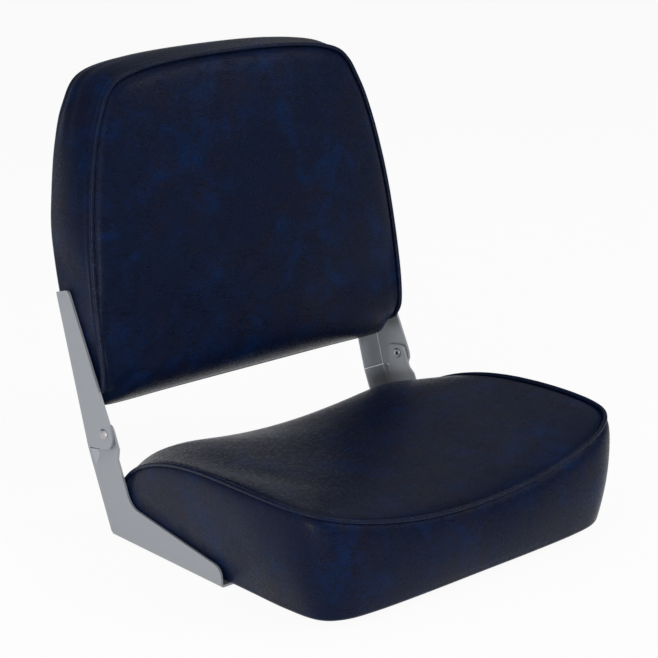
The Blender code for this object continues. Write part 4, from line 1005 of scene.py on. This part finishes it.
def back_welt_path():
    """Return the back's welt: up one side, over the top and down, its ends to the rear."""
    count = len(whole(BACK_SHARES))
    places = [index / 2 for index in range(2 * count)]
    shape = BackShape(places)
    bands = [shape.band_ring(share) for share in TURN_BAND_SHARES]
    first = round(2 * TURN_START)
    last = 2 * count - first - 1
    middle_height = PIVOT_Z + BACK_HEIGHT / 2

    def seam_end(panel_column, band_column):
        points = []
        for loop in bands:
            place = loop[panel_column].lerp(loop[band_column], TURN_SEAM_SHARE)
            out = Vector((place.x, 0.0, place.z - middle_height)).normalized()
            points.append(place + out * PIPE_PROUD)
        return points

    start = list(reversed(seam_end(first, first + 1)))
    end = seam_end(last + 1, last)
    return smooth_path(start + shape.edge[first + 1:last + 1] + end, False, settings().welt.steps)


# Materials


def put(tree, kind, inputs=None, **values):
    """Add a node, set its values and join or fill its inputs."""
    made = tree.nodes.new(kind)
    for name, value in values.items():
        setattr(made, name, value)
    for key, value in (inputs or {}).items():
        socket = made.inputs[key]
        if isinstance(value, bpy.types.NodeSocket):
            tree.links.new(value, socket)
        else:
            socket.default_value = value
    return made


def blend_colours(tree, factor, first, second, mode="MIX"):
    """Return the mixed colour of two."""
    made = put(tree, "ShaderNodeMix", {0: factor, 6: first, 7: second},
               data_type="RGBA", blend_type=mode)
    return made.outputs[2]


def ranged(tree, value, low, high, to_low=0.0, to_high=1.0):
    """Return a value eased from one range to another."""
    made = put(tree, "ShaderNodeMapRange",
               {0: value, 1: low, 2: high, 3: to_low, 4: to_high}, interpolation_type="SMOOTHSTEP")
    return made.outputs[0]


def summed(tree, operation, first, second):
    """Return two values put together."""
    return put(tree, "ShaderNodeMath", {0: first, 1: second}, operation=operation).outputs[0]


def vectors(tree, operation, first, second):
    """Return two vectors put together."""
    return put(tree, "ShaderNodeVectorMath", {0: first, 1: second}, operation=operation).outputs[0]


def noise(tree, vector, scale, detail=4.0, rough=0.55, twist=0.0, output="Fac"):
    """Return the value of a noise."""
    made = put(tree, "ShaderNodeTexNoise", {"Vector": vector, "Scale": scale, "Detail": detail,
                                            "Roughness": rough, "Distortion": twist})
    return made.outputs[output]


def rgba(colour):
    """Return a colour with its alpha."""
    return (*colour, 1.0)


def fill_clouds(tree, vector, given):
    """Marbled vinyl colour: soft blue and grey clouds with a fine mottle."""
    scale = given["Scale"]
    blue = ranged(tree, noise(tree, vector, scale, 6.0, 0.68, 0.35), 0.46, 0.74)
    shifted = vectors(tree, "ADD", vector, (0.37, 0.11, 0.53))
    wider = summed(tree, "MULTIPLY", scale, 0.62)
    grey = ranged(tree, noise(tree, shifted, wider, 6.0, 0.66, 0.3), 0.42, 0.70)
    finer = summed(tree, "MULTIPLY", scale, 9.0)
    mottle = ranged(tree, noise(tree, vector, finer, 5.0, 0.7, 1.0), 0.30, 0.72, 0.45, 1.0)
    colour = given["Ground"]
    for cloud, over in ((grey, given["Grey"]), (blue, given["Blue"])):
        strength = summed(tree, "MULTIPLY", summed(tree, "MULTIPLY", cloud, mottle),
                          given["Amount"])
        colour = blend_colours(tree, strength, colour, over)
    return colour, mottle


def fill_grain(tree, vector, given):
    """Embossed leather grain: small cells and drawn creases over slow waves, with painted shade
    darkening the colour in the grooves between the cells and along the creases.
    """
    bend = noise(tree, vector, 240.0, 2.0, 0.5, output="Color")
    bent = vectors(tree, "ADD", vector, vectors(tree, "MULTIPLY", bend, (0.0022, 0.0022, 0.0022)))
    cells = put(tree, "ShaderNodeTexVoronoi", {"Vector": bent, "Scale": given["Cells"]},
                feature="DISTANCE_TO_EDGE").outputs["Distance"]
    cells = ranged(tree, cells, 0.0, 0.22)
    slow = noise(tree, vector, 34.0, 2.0, 0.5)
    drawn = vectors(tree, "MULTIPLY", bent, (60.0, 110.0, 330.0))
    lines = summed(tree, "SUBTRACT", noise(tree, drawn, 1.0, 2.0, 0.5), 0.5)
    lines = put(tree, "ShaderNodeMath", {0: lines}, operation="ABSOLUTE").outputs[0]
    patchy = ranged(tree, noise(tree, vector, 55.0, 2.0), 0.40, 0.62)
    lines = summed(tree, "MULTIPLY", ranged(tree, lines, 0.0, 0.055, -1.0, 0.0), patchy)
    height = summed(tree, "MULTIPLY", cells, 0.12)
    for value, share in ((noise(tree, vector, 2400.0, 3.0, 0.6), 0.06), (slow, given["Waves"]),
                         (lines, 0.22)):
        height = summed(tree, "ADD", height, summed(tree, "MULTIPLY", value, share))
    speck = ranged(tree, noise(tree, vector, 1500.0, 3.0, 0.7), 0.30, 0.70, -0.22, 0.22)
    # Painted shade: the colour is darkened in the grooves between the cells and along the drawn
    # creases, over a random speck of tone
    hollow_shade = summed(tree, "MULTIPLY", summed(tree, "SUBTRACT", cells, 1.0), 0.28)
    shade_and_speck = summed(tree, "ADD", summed(tree, "MULTIPLY", lines, 0.35), hollow_shade)
    for value in (speck, 1.0):
        shade_and_speck = summed(tree, "ADD", shade_and_speck, value)
    return height, shade_and_speck


def fill_speckle(tree, vector, given):
    """A fine sprayed or moulded surface, with a slower unevenness."""
    slower = summed(tree, "MULTIPLY", given["Scale"], 0.02)
    return (noise(tree, vector, given["Scale"], 3.0, 0.6), noise(tree, vector, slower, 3.0, 0.5))


# Each group: how it is filled, what it takes and what it gives
GROUPS = {
    "vinyl_clouds": (
        fill_clouds,
        (("Vector", "Vector", None), ("Ground", "Color", None), ("Blue", "Color", None),
         ("Grey", "Color", None), ("Scale", "Float", 26.0), ("Amount", "Float", 1.0)),
        (("Color", "Color"), ("Mask", "Float"))),
    "vinyl_grain": (
        fill_grain,
        (("Vector", "Vector", None), ("Cells", "Float", 620.0), ("Waves", "Float", 0.5)),
        (("Height", "Float"), ("Valleys", "Float"))),
    "fine_speckle": (
        fill_speckle,
        (("Vector", "Vector", None), ("Scale", "Float", 900.0)),
        (("Fine", "Float"), ("Slow", "Float"))),
}


def group(name):
    """Return a node group, made the first time that it is asked for."""
    if name not in bpy.data.node_groups:
        fill, takes, gives = GROUPS[name]
        tree = bpy.data.node_groups.new(name, "ShaderNodeTree")
        for label, kind, default in takes:
            socket = tree.interface.new_socket(
                label, in_out="INPUT", socket_type="NodeSocket" + kind)
            if default is not None:
                socket.default_value = default
        for label, kind in gives:
            tree.interface.new_socket(label, in_out="OUTPUT", socket_type="NodeSocket" + kind)
        given = tree.nodes.new("NodeGroupInput").outputs
        out = tree.nodes.new("NodeGroupOutput").inputs
        for (label, _), value in zip(gives, fill(tree, given["Vector"], given)):
            tree.links.new(value, out[label])
    return bpy.data.node_groups[name]


def use_group(tree, name, place, **values):
    """Put a node group in a material, set its values and return what it gives."""
    made = put(tree, "ShaderNodeGroup", {"Vector": place, **values}, node_tree=group(name))
    return made.outputs


def material(name, fill, **values):
    """Return a material, made the first time that it is asked for."""
    if name not in bpy.data.materials:
        made = bpy.data.materials.new(name)
        made.use_nodes = True
        tree = made.node_tree
        place = tree.nodes.new("ShaderNodeTexCoord").outputs["Object"]
        fill(tree, tree.nodes["Principled BSDF"].inputs, place, **values)
    return bpy.data.materials[name]


def surface(tree, shader, tone, rough, height=None, strength=0.0, depth=0.0):
    """Join a tone, a roughness and a relief to a shader."""
    tree.links.new(tone, shader["Base Color"])
    tree.links.new(rough, shader["Roughness"])
    if height:
        bump = put(tree, "ShaderNodeBump",
                   {"Height": height, "Strength": strength, "Distance": depth})
        tree.links.new(bump.outputs["Normal"], shader["Normal"])


def fill_vinyl(tree, shader, place, amount, roughness, specular, waves):
    """Marbled navy vinyl."""
    finish = settings().finish
    clouds = use_group(tree, "vinyl_clouds", place, Ground=rgba(finish.navy),
                       Blue=rgba(finish.blue), Grey=rgba(finish.grey), Amount=amount)
    grain = use_group(tree, "vinyl_grain", place, Waves=waves)
    # The grain darkens the marbled colour with painted shade in its grooves and creases, and with
    # its random speck of tone
    tone = blend_colours(tree, 1.0, clouds["Color"], grain["Valleys"], "MULTIPLY")
    rough = ranged(tree, clouds["Mask"], 0.45, 1.0, roughness - 0.04, roughness + 0.04)
    surface(tree, shader, tone, rough, grain["Height"], 0.6, 0.0010)
    shader["Specular IOR Level"].default_value = specular


def fill_speckled(tree, shader, place, colour, shades, scale, rough, by="Slow", strength=0.0,
                  depth=0.0, metallic=0.0):
    """A surface between two shades of a colour, with a fine speckle."""
    speckle = use_group(tree, "fine_speckle", place, Scale=scale)
    first, second = (rgba([value * shade for value in colour]) for shade in shades)
    tone = blend_colours(tree, speckle[by], first, second)
    roughness = ranged(tree, speckle[by], 0.3, 0.7, *rough)
    relief = speckle["Fine"] if strength else None
    surface(tree, shader, tone, roughness, relief, strength, depth)
    shader["Metallic"].default_value = metallic


def paint_material():
    """Return the satin grey paint on pressed steel."""
    return material("bracket_paint", fill_speckled, colour=settings().finish.paint,
                    shades=(0.93, 1.0), scale=1100.0, rough=(0.40, 0.48), strength=0.12,
                    depth=0.0004, metallic=0.25)


def steel_material():
    """Return the bright zinc-plated steel."""
    return material("plated_steel", fill_speckled, colour=settings().finish.steel,
                    shades=(0.8, 1.0), scale=2600.0, rough=(0.36, 0.48), by="Fine",
                    metallic=1.0)


def moulded_material(name, colour, roughness, scale, depth):
    """Return a moulded plastic with a fine spark-eroded texture."""
    return material(name, fill_speckled, colour=colour, shades=(1.0, 1.25), scale=scale,
                    rough=(roughness - 0.05, roughness + 0.05), strength=0.3, depth=depth)


def cushion_vinyl():
    """Return the covers' vinyl."""
    return material("marbled_vinyl", fill_vinyl, amount=1.15, roughness=0.30, specular=0.06,
                    waves=0.6)


def welt_vinyl():
    """Return the welts' vinyl, pulled smooth over the cord."""
    return material("welt_vinyl_cover", fill_vinyl, amount=0.6, roughness=0.28, specular=0.12,
                    waves=0.2)


# Pieces


def declare(made, body, slot, *nodes):
    """Tie a new piece to its body and hide the nodes that it stands for; the slot is not used."""
    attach(made, body)
    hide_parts(*nodes)


def dress(names, finish, bevel=0.0):
    """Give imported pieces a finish, and soften their edges if asked."""
    for name in names:
        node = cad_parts[name]
        node.data.materials.clear()
        node.data.materials.append(finish)
        weld = node.modifiers.new("Weld", "WELD")
        weld.merge_threshold = WELD
        if bevel:
            for part in node.data.polygons:
                part.use_smooth = True
            soften = node.modifiers.new("Edge", "BEVEL")
            soften.width = bevel
            soften.segments = 2
            soften.limit_method = "ANGLE"
            soften.angle_limit = EDGE_ANGLE
            soften.harden_normals = True
            level = node.modifiers.new("Flats", "WEIGHTED_NORMAL")
            level.weight = FLAT_WEIGHT


def nodes_named(*parts):
    """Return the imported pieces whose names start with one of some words."""
    return [name for name in sorted(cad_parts) if name.startswith(parts)]


class BOATSEAT_OT_brackets(bpy.types.Operator):
    """Paint the four pressed hinge brackets"""

    bl_idname = "boatseat.brackets"
    bl_label = "Brackets"

    def execute(self, context):
        dress([name for name in nodes_named(*BRACKETS) if "screw" not in name],
              paint_material(), 0.0004)
        return {"FINISHED"}


class BOATSEAT_OT_fastenings(bpy.types.Operator):
    """Finish the rivets, washers, screws and mounting nuts"""

    bl_idname = "boatseat.fastenings"
    bl_label = "Fastenings"

    def execute(self, context):
        finish = context.scene.boat_seat.finish
        steel = steel_material()
        dress(nodes_named("pivot_rivet"), steel, 0.0003)
        dress([name for name in nodes_named(*BRACKETS) if "screw" in name], steel, 0.0002)
        dress(nodes_named("mounting_tee_nut"), steel)
        dress(nodes_named("pivot_washer"),
              moulded_material("nylon", finish.nylon, 0.5, 1500.0, 0.0002))
        return {"FINISHED"}


class BOATSEAT_OT_mouldings(bpy.types.Operator):
    """Finish the moulded pan and the board inside the back"""

    bl_idname = "boatseat.mouldings"
    bl_label = "Mouldings"

    def execute(self, context):
        colour = context.scene.boat_seat.finish.plastic
        black = moulded_material("moulded_black", colour, 0.55, 1200.0, 0.0004)
        dress(["seat_pan", "back_board"], black)
        return {"FINISHED"}


class BOATSEAT_OT_seat_cushion(bpy.types.Operator):
    """Make the seat's padded cover"""

    bl_idname = "boatseat.seat_cushion"
    bl_label = "Seat cushion"

    def execute(self, context):
        made = build_seat_cushion(cushion_vinyl())
        declare(made, "seat", "navy_vinyl", "seat_foam", "seat_top_panel", "seat_side_band")
        return {"FINISHED"}


class BOATSEAT_OT_seat_welt(bpy.types.Operator):
    """Make the welt round the seat's top"""

    bl_idname = "boatseat.seat_welt"
    bl_label = "Seat welt"

    def execute(self, context):
        made = build_welt("seat_welt", seat_welt_path(), True, welt_vinyl())
        declare(made, "seat", "piping_vinyl", "seat_piping")
        return {"FINISHED"}


class BOATSEAT_OT_back_cushion(bpy.types.Operator):
    """Make the back's padded cover"""

    bl_idname = "boatseat.back_cushion"
    bl_label = "Back cushion"

    def execute(self, context):
        made = build_back_cushion(cushion_vinyl())
        declare(made, "back", "navy_vinyl", "back_foam", "back_front_panel", "back_side_band",
                "back_rear_panel")
        return {"FINISHED"}


class BOATSEAT_OT_back_welt(bpy.types.Operator):
    """Make the welt round the back's front edge"""

    bl_idname = "boatseat.back_welt"
    bl_label = "Back welt"

    def execute(self, context):
        made = build_welt("back_welt", back_welt_path(), False, welt_vinyl())
        declare(made, "back", "piping_vinyl", "back_piping")
        return {"FINISHED"}


def area_lamp(name, power_in_watts, size, place, towards):
    """Add a large soft lamp that faces a point."""
    data = bpy.data.lights.new(name, "AREA")
    data.energy = power_in_watts
    data.shape = "RECTANGLE"
    data.size, data.size_y = size
    lamp = linked(name, data)
    lamp.location = place
    lamp.visible_camera = False
    lamp.rotation_mode = "QUATERNION"
    lamp.rotation_quaternion = (Vector(towards) - Vector(place)).to_track_quat("-Z", "Y")


def floor_material():
    """A pale matt floor, white where it is seen directly or mirrored, under its shadows."""
    pale = bpy.data.materials.new("pale_floor")
    pale.use_nodes = True
    tree = pale.node_tree
    tree.nodes.remove(tree.nodes["Principled BSDF"])
    matt = put(tree, "ShaderNodeBsdfDiffuse", {"Color": (0.85, 0.85, 0.85, 1.0)})
    white = put(tree, "ShaderNodeEmission", {"Color": (1.0, 1.0, 1.0, 1.0), "Strength": 1.0})
    rays = tree.nodes.new("ShaderNodeLightPath").outputs
    seen = summed(tree, "MAXIMUM", rays["Is Camera Ray"], rays["Is Glossy Ray"])
    seen = summed(tree, "MAXIMUM", seen, rays["Is Transmission Ray"])
    factor = summed(tree, "MULTIPLY", seen, FLOOR_WHITE)
    mixed = put(tree, "ShaderNodeMixShader",
                {0: factor, 1: matt.outputs[0], 2: white.outputs[0]})
    tree.links.new(mixed.outputs[0], tree.nodes["Material Output"].inputs["Surface"])
    return pale


class BOATSEAT_OT_stage(bpy.types.Operator):
    """Lay the floor, hang the lamps and set up the camera"""

    bl_idname = "boatseat.stage"
    bl_label = "Stage"

    def execute(self, context):
        stage = context.scene.boat_seat.stage
        bm = bmesh.new()
        bmesh.ops.create_grid(bm, x_segments=4, y_segments=4, size=stage.floor_half)
        mesh = bpy.data.meshes.new("floor")
        bm.to_mesh(mesh)
        bm.free()
        floor = linked("floor", mesh)
        mesh.materials.append(floor_material())

        world = bpy.data.worlds.new("studio")
        context.scene.world = world
        world.use_nodes = True
        studio = world.node_tree.nodes["Background"]
        studio.inputs["Color"].default_value = DAYLIGHT
        studio.inputs["Strength"].default_value = stage.ambient

        for name, size, place, towards in LAMPS:
            area_lamp(name, getattr(stage, name), size, place, towards)

        camera = linked("camera", bpy.data.cameras.new("camera"))
        camera.data.lens = stage.lens
        camera.data.sensor_width = SENSOR_WIDTH
        ahead = Vector((math.sin(stage.azimuth) * math.cos(stage.pitch),
                        math.cos(stage.azimuth) * math.cos(stage.pitch),
                        -math.sin(stage.pitch)))
        camera.location = stage.camera_place
        camera.rotation_mode = "QUATERNION"
        camera.rotation_quaternion = ahead.to_track_quat("-Z", "Y")
        camera.data.clip_end = FARTHEST
        context.scene.camera = camera
        context.scene.view_settings.view_transform = "Standard"
        return {"FINISHED"}


class BOATSEAT_PT_pieces(bpy.types.Panel):
    """Lists the steps that dress the seat"""

    bl_idname = "BOATSEAT_PT_pieces"
    bl_label = "Boat Seat"
    bl_space_type = "VIEW_3D"
    bl_region_type = "UI"
    bl_category = "Boat Seat"

    def draw(self, context):
        kept = context.scene.boat_seat
        for part in (kept.cover, kept.welt, kept.finish, kept.stage):
            box = self.layout.box()
            for name in part.__annotations__:
                box.prop(part, name)
        for step in STEPS:
            self.layout.operator(step.bl_idname)


STEPS = (BOATSEAT_OT_brackets, BOATSEAT_OT_fastenings, BOATSEAT_OT_mouldings,
         BOATSEAT_OT_seat_cushion, BOATSEAT_OT_seat_welt, BOATSEAT_OT_back_cushion,
         BOATSEAT_OT_back_welt, BOATSEAT_OT_stage)
CLASSES = (CoverSettings, WeltSettings, FinishSettings, StageSettings, BoatSeatSettings,
           *STEPS, BOATSEAT_PT_pieces)


def register():
    """Register the classes and keep the settings with the scene."""
    for item in CLASSES:
        bpy.utils.register_class(item)
    bpy.types.Scene.boat_seat = PointerProperty(type=BoatSeatSettings)


def unregister():
    """Take the classes and the settings away again."""
    del bpy.types.Scene.boat_seat
    for item in reversed(CLASSES):
        bpy.utils.unregister_class(item)


def main():
    """Dress the seat and set it on its stage."""
    register()
    bpy.ops.boatseat.brackets()
    bpy.ops.boatseat.fastenings()
    bpy.ops.boatseat.mouldings()
    bpy.ops.boatseat.seat_cushion()
    bpy.ops.boatseat.seat_welt()
    bpy.ops.boatseat.back_cushion()
    bpy.ops.boatseat.back_welt()
    bpy.ops.boatseat.stage()


if __name__ == "__main__":
    main()
